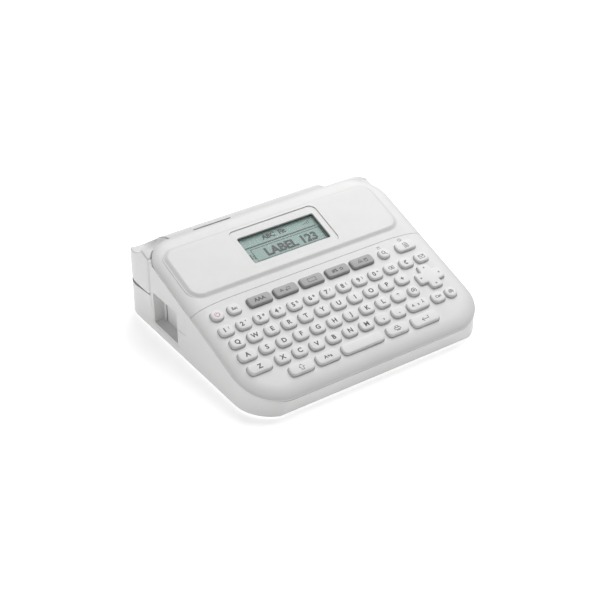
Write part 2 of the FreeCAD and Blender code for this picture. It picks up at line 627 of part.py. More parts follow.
def build_lower_case():
    outer = case_volume("case_outer", "0", "dims.foot_high")
    hollow = case_volume("case_hollow", "dims.wall", "dims.foot_high + dims.floor_thick")
    well = lever_well("well_space", "dims.lever_right + 0.5", "dims.lever_tip_y - 0.6", "0")
    well_roof = lever_well("well_roof", "dims.lever_right + 2.8", "dims.lever_tip_y - 2.6", "dims.wall")
    hollow_left = cut("case_hollow_left", hollow, [well_roof])
    # the wall between the well and the cassette bay stays below the closed cover
    bay_mouth = box("bay_mouth", ("dims.cover_left - 0.3", "dims.panel_back_y + 0.1", "21.5"),
                    ("dims.cover_right - dims.cover_left + 0.6", "40", "60"))
    bay_wall = box("bay_wall", ("dims.lever_right + 0.6", "dims.panel_back_y + 1", "10"), ("2", "28", "40"))
    wall_top = cylinder("bay_wall_top", ("-80", "dims.cover_mid_y", "dims.cover_mid_z"),
                        "dims.cover_round - dims.cover_wall - 0.5", "30", "x")
    bay_wall = common("bay_wall_cut", [bay_wall, wall_top])
    shoulder_wall = common("shoulder_wall", [
        box("shoulder_slab", ("dims.cover_right + 0.3", "dims.panel_back_y", "3"),
            ("dims.wall", "40", "60")),
        case_volume("case_shoulder", "0", "dims.foot_high")])
    # the mechanism passes through the cross wall under the rear edge of the display panel
    wall_gap = box("cross_wall_gap", ("-68", "dims.panel_back_y - 3", "dims.foot_high + dims.floor_thick"),
                   ("64", "3", "42"))
    wall_slit = box("cross_wall_slit", ("-82", "dims.panel_back_y - 3",
                                        "dims.foot_high + dims.floor_thick"),
                    ("128", "3", "6"))
    shell = cut("case_shell", outer, [hollow_left, well, bay_mouth, wall_gap, wall_slit])
    lug_bodies = []
    for i, (left, long) in enumerate(LUGS):
        knuckle = hinge_cylinder("lug_%d" % i, left, long, "dims.knuckle_round")
        foot = box("lug_foot_%d" % i, (left, "dims.hinge_y - dims.lug_foot_reach", "dims.lug_foot_low"),
                   (long, "dims.knuckle_round", "dims.hinge_z - dims.lug_foot_low"))
        lug_bodies += [knuckle, foot]
    ribbed = fuse("case_ribbed", [shell, bay_wall, shoulder_wall] + lug_bodies)
    exit_opening = box("exit_opening", ("-dims.case_wide / 2 - 1", "dims.exit_front - dims.tub_wall - 0.15",
                                        "dims.exit_low - dims.tub_wall - 0.15"),
                       ("dims.wall + 9", "dims.exit_back - dims.exit_front + 2 * dims.tub_wall + 0.3",
                        "dims.exit_high - dims.exit_low + 2 * dims.tub_wall + 0.3"))
    leaf_opening = side_leaf("leaf_opening", "0.15", "dims.wall + 2")
    battery_opening = box("battery_opening", ("dims.bay_left", "dims.bay_front", "0"),
                          ("dims.bay_wide", "dims.bay_deep", "8"))
    battery_ledge = box("battery_ledge", ("dims.bay_left - dims.bay_ledge",
                                          "dims.bay_front - dims.bay_ledge", "0"),
                        ("dims.bay_wide + 2 * dims.bay_ledge", "dims.bay_deep + 2 * dims.bay_ledge",
                         "dims.foot_high + 1.3"))
    pin_bore = hinge_cylinder("case_pin_bore", "dims.cover_left - 4",
                              "dims.cover_right - dims.cover_left + 8",
                              "dims.pin_round")
    usb_opening = box("usb_opening", ("90", "57.8", "12"), ("8", "8.4", "4.2"))
    power_opening = cylinder("power_opening", ("82", "38", "14"), "4.6", "16", "x")
    lever_bore = cylinder("case_lever_bore", ("-74", "dims.lever_pin_y", "dims.lever_pin_z"),
                          "dims.lever_pin_round", "8", "x")
    foot_holes = [cylinder("foot_hole_%d" % i, (x, y, "0"), "dims.foot_round + 0.1",
                           "dims.foot_high + dims.foot_sunk")
                  for i, (x, y) in enumerate(FOOT_PLACES)]
    screw_holes = [cylinder("screw_hole_%d" % i, (x, y, "0"), "1.6", "6") for i,
                   (x, y) in enumerate(SCREW_PLACES)]
    finish(cut("lower_case", ribbed, [exit_opening, leaf_opening, battery_opening, battery_ledge, pin_bore,
                                      usb_opening, power_opening, lever_bore] + foot_holes + screw_holes), "lower_case")


FOOT_PLACES = [("-dims.foot_x", "dims.foot_front_y + 6"), ("dims.foot_x", "dims.foot_front_y + 6"),
               ("-dims.foot_x + 4", "dims.foot_rear_y"), ("dims.foot_x - 4", "dims.foot_rear_y")]
SCREW_PLACES = [("-84", "-48"), ("84", "-48"), ("-66", "24"), ("86", "20"), ("54", "80")]


def side_leaf(name, gap, deep):
    """Upright leaf of the side cover: its lower front corner steps round the tape exit."""
    body = new_body(name)
    sketch = new_sketch(body, "leaf", "YZ_Plane", z="-dims.case_wide / 2 - (%s - dims.wall)" % deep)
    front = "(dims.cover_leaf_front - %s)" % gap
    back = "(dims.lever_tip_y - 1.6 + %s)" % gap
    low = "(dims.cover_leaf_low - %s)" % gap
    draw_polygon(sketch, [(front, low), (front, deck_z(front, "dims.panel_skirt") + " - 0.2 + %s" % gap),
                          (back, deck_z(back, "dims.panel_skirt") + " - 0.2 + %s" % gap), (back, low)])
    extrude(body, "Pad", sketch, deep)
    return body


def build_side_cover():
    """Leaf in the left wall with the tape exit recess behind it."""
    leaf = side_leaf("side_leaf", "0", "dims.wall")
    tub = box("exit_tub", ("-dims.case_wide / 2", "dims.exit_front - dims.tub_wall",
                           "dims.exit_low - dims.tub_wall"),
              ("dims.exit_deep + dims.tub_wall", "dims.exit_back - dims.exit_front + 2 * dims.tub_wall",
               "dims.exit_high - dims.exit_low + 2 * dims.tub_wall"))
    recess = box("exit_recess", ("-dims.case_wide / 2 - 1", "dims.exit_front", "dims.exit_low"),
                 ("dims.exit_deep + 1", "dims.exit_back - dims.exit_front",
                  "dims.exit_high - dims.exit_low"))
    slot = box("tape_slot", ("-dims.case_wide / 2", "dims.slot_y - dims.slot_wide / 2", "dims.exit_low"),
               ("20", "dims.slot_wide", "dims.exit_high - dims.exit_low"))
    finish(cut("side_cover", fuse("side_cover_solid", [leaf, tub]), [recess, slot]), "side_cover")


# ---------------------------------------------------------------- cover, lever, base

def build_cassette_cover():
    """Curved lid, a quarter of a tube, with knuckles on the hinge pin."""
    long = "dims.cover_right - dims.cover_left"
    at_left = ("dims.cover_left", "dims.cover_mid_y", "dims.cover_mid_z")
    skin = cut("cover_tube", cylinder("cover_skin", at_left, "dims.cover_round", long, "x"),
               [cylinder("cover_core", at_left, "dims.cover_round - dims.cover_wall", long, "x")])
    keep = box("cover_keep", ("dims.cover_left", "dims.cover_front_y", "dims.hinge_z"), (long, "60", "60"))
    leaf = common("cover_leaf", [skin, keep])
    knuckles = [hinge_cylinder("cover_knuckle_%d" % i, left, long, "dims.knuckle_round")
                for i, (left, long) in enumerate(COVER_KNUCKLES)]
    lug_space = [hinge_cylinder("lug_space_%d" % i, "%s - %s" % (left, LUG_GAP),
                                "%s + 2 * %s" % (long, LUG_GAP),
                                "dims.knuckle_round + 0.3")
                 for i, (left, long) in enumerate(LUGS)]
    finger = box("finger_notch", ("dims.finger_left", "dims.cover_front_y - 1", "50"),
                 ("dims.finger_wide", "dims.finger_deep + 1", "20"))
    bore = hinge_cylinder("cover_pin_bore", "dims.cover_left - 1", long + " + 2",
                          "dims.pin_round + dims.pin_play")
    finish(cut("cassette_cover", fuse("cover_solid", [leaf] + knuckles), lug_space + [finger, bore]),
           "cassette_cover")
    finish(hinge_cylinder("cover_hinge_pin", "dims.cover_left + 0.2", long + " - 0.4", "dims.pin_round"),
           "cover_hinge_pin")


COVER_KNUCKLES = [("-64.4", "19.9"), ("30.5", "20")]


def build_lever():
    """Cutter lever: a rounded shell with a thumb dish, hollow below, on a cross pin."""
    roof = side_body("lever_side", [
        ("dims.lever_tip_y", "dims.lever_tip_z"),
        ("dims.lever_tip_y + 1.5", "dims.lever_low_z"),
        (arc_y("dims.lever_low_z", "dims.cover_round"), "dims.lever_low_z"),
        ("dims.panel_back_y", arc_z("dims.panel_back_y", "dims.cover_round") + " - 0.4"),
        ("dims.lever_tip_y", deck_z("dims.lever_tip_y",
                                    "dims.panel_skirt") + " - 0.4")], "dims.case_wide / 2",
        (2, ("dims.cover_mid_y", "dims.cover_mid_z"), "dims.cover_round"))
    width = box("lever_width", ("dims.lever_left", "40", "20"),
                ("dims.lever_right - dims.lever_left", "60", "60"))
    blank = common("lever_blank", [roof, width, plan_prism("lever_plan", "0", "dims.foot_high", "80")])
    panel_edge = panel_prism("panel_edge", "dims.lever_gap")
    edge_top = common("panel_edge_high", [panel_edge, box("above_tip",
                                                          ("-100", "30", "dims.lever_tip_z + 6"),
                                                            ("60", "40", "40"))])
    dish = doc.addObject("Part::Sphere", "thumb_dish")
    dish.setExpression("Radius", "dims.dish_round")
    for axis in "xyz":
        dish.setExpression("Placement.Base." + axis, "dims.dish_" + axis)
    hollow = common("lever_hollow", [
        box("lever_hollow_box", ("dims.lever_left + dims.wall", "dims.lever_pin_y + 4", "20"),
            ("dims.lever_right - dims.lever_left - 2 * dims.wall", "27", "40")),
        cylinder("lever_hollow_roof", ("-100", "dims.cover_mid_y", "dims.cover_mid_z"),
                 "dims.lever_roof_round",
                 "40", "x"),
        plan_prism("lever_hollow_plan", "dims.wall", "dims.foot_high", "80")])
    bore = cylinder("lever_bore", ("dims.lever_left + 1.5", "dims.lever_pin_y", "dims.lever_pin_z"),
                    "dims.lever_pin_round + dims.pin_play", "30", "x")
    finish(cut("cutter_lever", blank, [edge_top, dish, hollow, bore]), "cutter_lever")
    finish(cylinder("lever_pin", ("dims.lever_left + 2", "dims.lever_pin_y", "dims.lever_pin_z"),
                    "dims.lever_pin_round", "dims.lever_right - dims.lever_left + 0.6", "x"), "lever_pin")
    coil_low = value(well_plane("dims.spring_y")) + 0.7
    coil_high = value(arc_z("dims.spring_y", "dims.lever_roof_round")) - 2.4
    wire = 0.45
    helix = Part.makeHelix(2.6, coil_high - coil_low, 3.5)
    start = FreeCAD.Vector(3.5, 0, 0)
    section = Part.Wire(Part.makeCircle(wire, start, FreeCAD.Vector(0, 1, 0)))
    coil = Part.Wire(helix).makePipeShell([section], True, True)
    place = FreeCAD.Placement(FreeCAD.Vector(value("dims.spring_x"), value("dims.spring_y"), coil_low),
                              FreeCAD.Rotation())
    finish(shaped("lever_spring", coil, place), "lever_spring")
    finish(box("cutter_blade", ("dims.blade_x", "dims.blade_front", "8"),
               ("dims.blade_thick", "dims.blade_deep", "26")),
           "cutter_blade")


def build_base_pieces():
    gap = 0.25
    finish(box("battery_cover", ("dims.bay_left - dims.bay_ledge + %s" % gap,
                                 "dims.bay_front - dims.bay_ledge + %s" % gap,
                                 "dims.foot_high"),
               ("dims.bay_wide + 2 * dims.bay_ledge - %s" % (2 * gap),
                "dims.bay_deep + 2 * dims.bay_ledge - %s" % (2 * gap), "1.2")), "battery_cover")
    cells = []
    for row in range(3):
        for side in (0, 1):
            left = "-dims.cell_long - 0.4" if side == 0 else "0.4"
            y = "dims.bay_front + 3 + dims.cell_round + %d * dims.cell_pitch" % row
            can = cylinder("cell_%d_%d" % (row, side), (left, y, "dims.cell_low + dims.cell_round"),
                           "dims.cell_round", "dims.cell_long - 1.5", "x")
            tip = cylinder("cell_tip_%d_%d" % (row, side),
                           ("%s + dims.cell_long - 1.5" % left, y,
                            "dims.cell_low + dims.cell_round"), "2.6", "1.2", "x")
            cells.append(fuse("battery_%d_%d" % (row, side), [can, tip]))
    row_of_cells = doc.addObject("Part::Compound", "cell_set")
    row_of_cells.Links = cells
    finish(row_of_cells, "batteries")
    strips = [box("contact_%d" % i, (x, "dims.bay_front + 4", "dims.cell_low + 0.4"), ("0.5", "42", "12"))
              for i, x in enumerate(("dims.bay_left + 2", "dims.bay_left + dims.bay_wide - 2.5"))]
    contacts = doc.addObject("Part::Compound", "contact_set")
    contacts.Links = strips
    finish(contacts, "battery_contacts")
    feet = []
    for i, (x, y) in enumerate(FOOT_PLACES):
        feet.append(cylinder("foot_%d" % i, (x, y, "0"), "dims.foot_round",
                             "dims.foot_high + dims.foot_sunk"))
    foot_set = doc.addObject("Part::Compound", "foot_set")
    foot_set.Links = feet
    finish(foot_set, "rubber_feet")
    screws = []
    for i, (x, y) in enumerate(SCREW_PLACES):
        head = cylinder("screw_head_%d" % i, (x, y, "dims.foot_high + 2.25"), "2.8", "1.6")
        shank = cylinder("screw_shank_%d" % i, (x, y, "dims.foot_high + 0.3"), "1.5", "12")
        screws.append(fuse("screw_%d" % i, [head, shank]))
    screw_set = doc.addObject("Part::Compound", "screw_set")
    screw_set.Links = screws
    finish(screw_set, "case_screws")
    socket = cut("usb_shell", box("usb_block", ("86", "58", "12.2"), ("8", "8", "3.8")),
                 [box("usb_mouth", ("87.5", "58.5", "12.7"), ("8", "7", "2.8"))])
    finish(socket, "usb_socket")
    jack = cut("power_shell", cylinder("power_block", ("84", "38", "14"), "4.5", "10.6", "x"),
               [cylinder("power_mouth", ("86", "38", "14"), "3.15", "12", "x")])
    jack_pin = cylinder("power_pin", ("85", "38", "14"), "0.8", "5", "x")
    finish(fuse("power_socket", [jack, jack_pin]), "power_socket")


# ---------------------------------------------------------------- printing mechanism

# name: teeth (module 1), x, y, the gear that drives it
GEARS = {
    "motor_pinion": (10, "motor", None),
    "idler_gear": (20, "idler", "motor_pinion"),
    "platen_gear": (14, "platen", "idler_gear"),
    "ribbon_spindle": (36, "spindle", "motor_pinion"),
}
TOOTH_OUT = 0.85
TOOTH_IN = 1.15


def gear_centre(name):
    key = GEARS[name][1]
    return FreeCAD.Vector(value("dims.%s_x" % key), value("dims.%s_y" % key), 0)


def gear_phase(name):
    """Angle of one tooth, so that the teeth mesh with those of the driving gear."""
    teeth, _, driver = GEARS[name]
    if driver is None:
        return 0.0
    line = gear_centre(name) - gear_centre(driver)
    facing = math.atan2(line.y, line.x)
    turn = (facing - gear_phase(driver)) * GEARS[driver][0] / teeth
    return facing + math.pi + math.pi / teeth + turn


def build_gear(name, hub_radius, hub_high, bore):
    """Spur gear: a root disc with one tooth, repeated round the axis."""
    teeth = GEARS[name][0]
    body = new_body(name)
    disc = new_sketch(body, "root_disc", z="dims.gear_low")
    draw_circle(disc, str(teeth / 2 - TOOTH_IN))
    extrude(body, "Pad", disc, "dims.gear_thick")
    tooth = new_sketch(body, "tooth", z="dims.gear_low")
    root = teeth / 2 - TOOTH_IN - 0.4
    tip = teeth / 2 + TOOTH_OUT
    draw_polygon(tooth, [(str(root), "-0.85"), (str(tip), "-0.3"), (str(tip), "0.3"), (str(root), "0.85")])
    flank = extrude(body, "Pad", tooth, "dims.gear_thick")
    doc.recompute()
    ring = body.newObject("PartDesign::PolarPattern", "teeth")
    ring.Originals = [flank]
    ring.Axis = (origin_feature(body, "Z_Axis"), [""])
    ring.Angle = 360
    ring.Occurrences = teeth
    body.Tip = ring
    doc.recompute()
    if hub_high:
        hub = new_sketch(body, "hub", z="dims.gear_low")
        draw_circle(hub, hub_radius)
        body.Tip = extrude(body, "Pad", hub, hub_high)
        doc.recompute()
    if bore:
        hole = new_sketch(body, "bore", z="dims.gear_low - 1")
        draw_circle(hole, bore)
        body.Tip = extrude(body, "Pocket", hole, "60", down=True)
        doc.recompute()
    body.Placement = FreeCAD.Placement(gear_centre(name),
                                       FreeCAD.Rotation(math.degrees(gear_phase(name)), 0, 0))
    return finish(body, name)


def build_printer():
    play = "dims.pin_play"
    build_gear("motor_pinion", "1.6", "6.0", None)
    build_gear("idler_gear", "3.4", "5.0", "dims.shaft_round + " + play)
    build_gear("platen_gear", "3.0", "3.2", "dims.shaft_round")
    build_gear("ribbon_spindle", "2.4", "22", "dims.shaft_round + " + play)
    roller = cylinder("platen_rubber", ("dims.platen_x", "dims.platen_y", "9.4"), "dims.platen_round", "24")
    shaft = cylinder("platen_shaft", ("dims.platen_x", "dims.platen_y", "dims.chassis_low + 0.1"),
                     "dims.shaft_round", "32")
    finish(fuse("platen_roller", [roller, shaft]), "platen_roller")
    can = cylinder("motor_can", ("dims.motor_x", "dims.motor_y", "12.4"), "dims.motor_round", "22")
    boss = cylinder("motor_boss", ("dims.motor_x", "dims.motor_y", "11.6"), "3", "1")
    finish(fuse("drive_motor", [can, boss]), "drive_motor")
    hub = cylinder("arm_hub", ("dims.arm_x", "dims.arm_y", "9"), "3", "24")
    bar = box("arm_bar", ("dims.arm_x", "dims.arm_y - 2", "9"), ("13.2", "2", "24"))
    bar.Placement.Rotation = FreeCAD.Rotation(ARM_TURN, 0, 0)
    arm_bore = cylinder("arm_bore", ("dims.arm_x", "dims.arm_y", "0"), "dims.shaft_round + " + play, "50")
    head = box("print_head", ("dims.head_x", "dims.head_y", "9.5"), ("9", "1.4", "23.5"))
    head.Placement.Rotation = FreeCAD.Rotation(TAPE_TURN, 0, 0)
    finish(head, "print_head")
    finish(cut("head_arm", fuse("head_arm_solid", [hub, bar]), [arm_bore, head]), "head_arm")
    plate = box("chassis_plate", ("-80", "33.5", "dims.chassis_low"), ("124", "52.5", "dims.chassis_thick"))
    posts = []
    for key, high in (("idler", "6.2"), ("spindle", "26"), ("arm", "31")):
        posts.append(cylinder(key + "_post", ("dims.%s_x" % key, "dims.%s_y" % key, "dims.chassis_low"),
                              "dims.shaft_round", high))
    guide = box("blade_guide", ("dims.blade_x + dims.blade_thick + 0.15", "39.9", "dims.chassis_low"),
                ("2.2", "3.2", "30"))
    floor_tab = box("guide_tab", ("dims.blade_x + dims.blade_thick + 0.15", "39.9", "dims.chassis_low"),
                    ("6", "3.2", "dims.chassis_thick"))
    rests = [box("cassette_rest_%d" % i, (x, "60", "dims.chassis_low"),
                 ("3", "20", "dims.cassette_low - dims.chassis_low"))
             for i, x in enumerate(("10", "28"))]
    motor_foot = box("motor_foot", ("dims.motor_x + 7", "dims.motor_y - 6", "dims.chassis_low"),
                     ("4", "8", "7.6"))
    motor_shelf = box("motor_shelf", ("dims.motor_x - 6", "dims.motor_y - 6", "10.2"), ("17", "12", "1.3"))
    shelf_hole = cylinder("shelf_hole", ("dims.motor_x", "dims.motor_y", "9"), "3.1", "4")
    platen_hole = cylinder("platen_hole", ("dims.platen_x", "dims.platen_y", "0"),
                           "dims.shaft_round + " + play, "9")
    finish(cut("chassis", fuse("chassis_solid", [plate, guide, floor_tab, motor_foot,
                                                 motor_shelf] + posts + rests),
               [shelf_hole, platen_hole]), "chassis")


# Degrees about +Z: the tape's path across the print head, and the arm that carries the head.
TAPE_TURN = 19.3
ARM_TURN = -30.0


def build_cassette():
    low = ("dims.cassette_left", "dims.cassette_front", "dims.cassette_low")
    size = ("dims.cassette_wide", "dims.cassette_deep", "dims.cassette_high - dims.cassette_low")
    inner_low = tuple(edge + " + dims.cassette_wall" for edge in low)
    inner_size = tuple("%s - 2 * dims.cassette_wall" % side for side in size)
    window = box("cassette_window", ("dims.spool_x - 7", "dims.spool_y - 6", "dims.cassette_high - 3"),
                 ("14", "12", "6"))
    spindle_hole = cylinder("spindle_hole", ("dims.spindle_x", "dims.spindle_y", "0"), "3.4", "60")
    tape_mouth = box("tape_mouth", ("dims.cassette_left - 1", "dims.cassette_front + 0.5", "12"),
                     ("4", "1.4", "22"))
    finish(cut("tape_cassette", box("cassette_block", low, size),
               [box("cassette_space", inner_low, inner_size), window, spindle_hole,
                tape_mouth]), "tape_cassette")
    spool = cylinder("spool_roll", ("dims.spool_x", "dims.spool_y", "12"), "dims.spool_round", "22")
    core = cylinder("spool_core", ("dims.spool_x", "dims.spool_y", "0"), "3", "60")
    finish(cut("tape_spool", spool, [core]), "tape_spool")


# ---------------------------------------------------------------- build, check and export

openings = build_keys()
openings.append(build_direction_pad())
build_keyboard_panel(openings)
build_display_panel()
build_display()
build_boards()
build_lower_case()
build_side_cover()
build_cassette_cover()
build_lever()
build_base_pieces()
build_printer()
build_cassette()
doc.recompute()

for item in doc.Objects:
    if "Invalid" in item.State or "Error" in item.State:
        raise RuntimeError("%s failed to compute: %s" % (item.Label, item.State))
for item in FINISHED:
    if item.Shape.isNull() or not item.Shape.isValid() or not item.Shape.Solids:
        raise RuntimeError("%s has no valid solid" % item.Label)
for item in FINISHED:
    item.Shape.exportStep("parts/%s.step" % item.Label)
    print("%-18s solids %2d  volume %9.1f" % (item.Label, len(item.Shape.Solids), item.Shape.Volume))
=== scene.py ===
# %% [markdown]
# # A desktop label maker
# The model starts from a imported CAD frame: every moving part is already in its place, at its real size.
# This lesson adds the looks. Soft shells, key caps and printed marks are modelled again with bmesh
# operators, and every surface gets a material made of nodes. All sizes are in metres.

# %% load the frame
import bmesh
import bpy
import json
import math
from mathutils import Matrix, Vector


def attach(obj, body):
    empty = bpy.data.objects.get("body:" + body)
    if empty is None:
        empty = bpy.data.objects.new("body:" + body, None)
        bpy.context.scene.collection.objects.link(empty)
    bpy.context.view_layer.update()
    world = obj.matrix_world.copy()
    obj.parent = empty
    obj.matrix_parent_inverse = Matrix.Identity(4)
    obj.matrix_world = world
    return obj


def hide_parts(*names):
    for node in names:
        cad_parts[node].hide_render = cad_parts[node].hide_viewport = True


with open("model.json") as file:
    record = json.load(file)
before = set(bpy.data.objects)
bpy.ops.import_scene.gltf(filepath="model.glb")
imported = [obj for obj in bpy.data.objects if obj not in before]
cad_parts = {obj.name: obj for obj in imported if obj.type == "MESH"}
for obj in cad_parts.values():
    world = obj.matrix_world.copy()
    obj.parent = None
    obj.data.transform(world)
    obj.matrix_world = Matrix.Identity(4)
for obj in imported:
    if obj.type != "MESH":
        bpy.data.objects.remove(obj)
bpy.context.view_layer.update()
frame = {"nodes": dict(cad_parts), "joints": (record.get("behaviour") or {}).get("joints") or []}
MM = 0.001

# %% [markdown]
# ## Camera
# Product shots use a long lens from some distance, so that parallel edges stay nearly parallel.
# The camera is placed by its direction, distance and aim, and turned with a track quaternion,
# which is simpler to read than three angles.

# %% camera
AIM = Vector((-0.03016, -0.04032, 0.04699))
TURN = math.radians(-34.5)
RISE = math.radians(33.27)
DISTANCE = 0.976
back = Vector((math.sin(TURN) * math.cos(RISE), -math.cos(TURN) * math.cos(RISE), math.sin(RISE)))
camera_data = bpy.data.cameras.new("camera")
camera_data.lens = 89.47
camera_data.sensor_width = 36.0
camera = bpy.data.objects.new("camera", camera_data)
camera.location = AIM + back * DISTANCE
camera.rotation_euler = back.to_track_quat("Z", "Y").to_euler()
bpy.context.collection.objects.link(camera)
bpy.context.scene.camera = camera
print("camera at", [round(v, 3) for v in camera.location])

# %% [markdown]
# ## The deck's own axes
# The keys and the display stand on a sloping deck. It is easier to draw them flat and then lay the
# drawing on the slope, so this cell reads the slope from the travel of the space key. `deck_box`
# measures a CAD node along the deck's own axes: right, up the slope, and out of the surface.

# %% deck axes
press = [joint for joint in frame["joints"] if joint["name"] == "space_key_press"][0]
OUT = -Vector(press["axis"]).normalized()
TILT = Matrix((Vector((1, 0, 0)), OUT.cross(Vector((1, 0, 0))), OUT)).transposed()


def deck_points(node):
    """Corner points of a CAD node along the deck's axes."""
    flat = TILT.transposed()
    return [flat @ vertex.co for vertex in frame["nodes"][node].data.vertices]


def deck_box(node):
    points = deck_points(node)
    low = Vector([min(point[i] for point in points) for i in range(3)])
    high = Vector([max(point[i] for point in points) for i in range(3)])
    return low, high


panel_low, panel_high = deck_box("keyboard_panel")
rear_low, rear_high = deck_box("display_panel")
DECK_LEVEL = panel_high.z
DECK = TILT.to_4x4() @ Matrix.Translation((0, 0, DECK_LEVEL))
SKIRT = DECK_LEVEL - panel_low.z
print("deck tilt", round(math.degrees(math.acos(OUT.z)), 2), "skirt mm", round(SKIRT * 1000, 2))

# %% [markdown]
# ## Small helpers
# A new piece is drawn in a bmesh, written to a mesh whose object sits at the origin, and made to ride
# on a body of the frame. Corners are marked sharp by their angle, so that round stretches shade
# smoothly and real edges stay crisp.

# %% helpers for pieces
def smooth_by_angle(bm, degrees=32):
    limit = math.radians(degrees)
    for face in bm.faces:
        face.smooth = True
    for edge in bm.edges:
        edge.smooth = len(edge.link_faces) == 2 and edge.calc_face_angle(0) < limit


def write_piece(bm, name, matrix=None, degrees=32):
    """Finish a bmesh: place it, close doubles, turn faces outward and make an object of it."""
    if matrix:
        bmesh.ops.transform(bm, matrix=matrix, verts=bm.verts)
    bmesh.ops.remove_doubles(bm, verts=bm.verts, dist=1e-6)
    bmesh.ops.recalc_face_normals(bm, faces=bm.faces)
    smooth_by_angle(bm, degrees)
    mesh = bpy.data.meshes.new(name)
    bm.to_mesh(mesh)
    bm.free()
    piece = bpy.data.objects.new(name, mesh)
    bpy.context.collection.objects.link(piece)
    return piece


def dress(piece, body, material, replaces=()):
    """Give a piece its body, finish and the CAD nodes that it stands for."""
    piece.data.materials.clear()
    piece.data.materials.append(material)
    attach(piece, body)
    if replaces:
        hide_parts(*replaces)
    return piece


def baked(piece):
    """The piece's mesh with its modifiers carried out."""
    depsgraph = bpy.context.evaluated_depsgraph_get()
    mesh = bpy.data.meshes.new_from_object(piece.evaluated_get(depsgraph))
    old = piece.data
    piece.modifiers.clear()
    piece.data = mesh
    mesh.name = piece.name
    bpy.data.meshes.remove(old)


def carve(piece, cutter, operation="DIFFERENCE"):
    """Boolean with a throw-away cutter."""
    modifier = piece.modifiers.new("carve", "BOOLEAN")
    modifier.operation = operation
    modifier.solver = "EXACT"
    modifier.object = cutter
    baked(piece)
    bpy.data.objects.remove(cutter)


def tidy(piece, degrees=32):
    """Merge what a boolean left behind and set the sharp edges again."""
    bm = bmesh.new()
    bm.from_mesh(piece.data)
    bmesh.ops.remove_doubles(bm, verts=bm.verts, dist=2e-6)
    bmesh.ops.dissolve_degenerate(bm, edges=bm.edges, dist=1e-6)
    smooth_by_angle(bm, degrees)
    bm.to_mesh(piece.data)
    bm.free()


def break_edges(piece, width, segments=2, degrees=32):
    """Moulded plastic has no knife edges: a small live bevel catches the light along them."""
    bevel = piece.modifiers.new("edge_break", "BEVEL")
    bevel.width = width
    bevel.segments = segments
    bevel.limit_method = "ANGLE"
    bevel.angle_limit = math.radians(degrees)
    bevel.use_clamp_overlap = True
    weighted = piece.modifiers.new("even_shading", "WEIGHTED_NORMAL")
    weighted.keep_sharp = True


def softened(node, width, degrees=32):
    """Copy of a CAD node with its triangles joined into faces and its edges broken."""
    source = frame["nodes"][node]
    bm = bmesh.new()
    bm.from_mesh(source.data)
    bmesh.ops.remove_doubles(bm, verts=bm.verts, dist=2e-6)
    bmesh.ops.dissolve_limit(bm, angle_limit=math.radians(1.2), verts=bm.verts, edges=bm.edges,
                             delimit=set())
    smooth_by_angle(bm, degrees)
    mesh = bpy.data.meshes.new(node + "_skin")
    bm.to_mesh(mesh)
    bm.free()
    piece = bpy.data.objects.new(node + "_skin", mesh)
    bpy.context.collection.objects.link(piece)
    break_edges(piece, width, degrees=degrees)
    return piece


# %% [markdown]
# ## Moulded plastic
# The housing is satin ABS: nearly white, with a spark-eroded texture far finer than a millimetre.
# The texture is a small noise bump on object coordinates, and a larger noise makes the roughness and
# the tone wander a little, which keeps large plain surfaces from looking computed.

# %% materials of the shell and keys
def node_material(name):
    material = bpy.data.materials.new(name)
    material.use_nodes = True
    tree = material.node_tree
    shader = tree.nodes["Principled BSDF"]
    return material, tree, shader


def noise(tree, scale, detail=2.0, rough=0.5):
    coordinates = tree.nodes.new("ShaderNodeTexCoord")
    texture = tree.nodes.new("ShaderNodeTexNoise")
    texture.inputs["Scale"].default_value = scale
    texture.inputs["Detail"].default_value = detail
    texture.inputs["Roughness"].default_value = rough
    tree.links.new(coordinates.outputs["Object"], texture.inputs["Vector"])
    return texture


def spread(tree, source, low, high, from_low=0.3, from_high=0.7):
    """Map a texture's grey to a range."""
    mapper = tree.nodes.new("ShaderNodeMapRange")
    mapper.inputs["From Min"].default_value = from_low
    mapper.inputs["From Max"].default_value = from_high
    mapper.inputs["To Min"].default_value = low
    mapper.inputs["To Max"].default_value = high
    tree.links.new(source, mapper.inputs["Value"])
    return mapper.outputs["Result"]


def blend_colours(tree, factor, first, second):
    mix = tree.nodes.new("ShaderNodeMix")
    mix.data_type = "RGBA"
    mix.inputs["A"].default_value = (*first, 1)
    mix.inputs["B"].default_value = (*second, 1)
    tree.links.new(factor, mix.inputs["Factor"])
    return mix.outputs["Result"]


def plastic(name, colour, roughness=0.42, grain=2600, depth=0.03, tone=0.015, coat=0.0):
    """Moulded plastic with an eroded texture, uneven gloss and a faint wander of tone."""
    material, tree, shader = node_material(name)
    cloud = noise(tree, 38, 3)
    dark = tuple(max(0.0, channel * (1 - tone * 2)) for channel in colour)
    tree.links.new(blend_colours(tree, spread(tree, cloud.outputs["Fac"], 0, 1), colour, dark),
                   shader.inputs["Base Color"])
    patch = noise(tree, 220, 4)
    tree.links.new(spread(tree, patch.outputs["Fac"], roughness - 0.05, roughness + 0.05),
                   shader.inputs["Roughness"])
    speckle = noise(tree, grain, 2)
    bump = tree.nodes.new("ShaderNodeBump")
    bump.inputs["Strength"].default_value = depth * 6
    bump.inputs["Distance"].default_value = 0.00004
    tree.links.new(speckle.outputs["Fac"], bump.inputs["Height"])
    tree.links.new(bump.outputs["Normal"], shader.inputs["Normal"])
    shader.inputs["IOR"].default_value = 1.49
    shader.inputs["Coat Weight"].default_value = coat
    shader.inputs["Coat Roughness"].default_value = 0.25
    return material


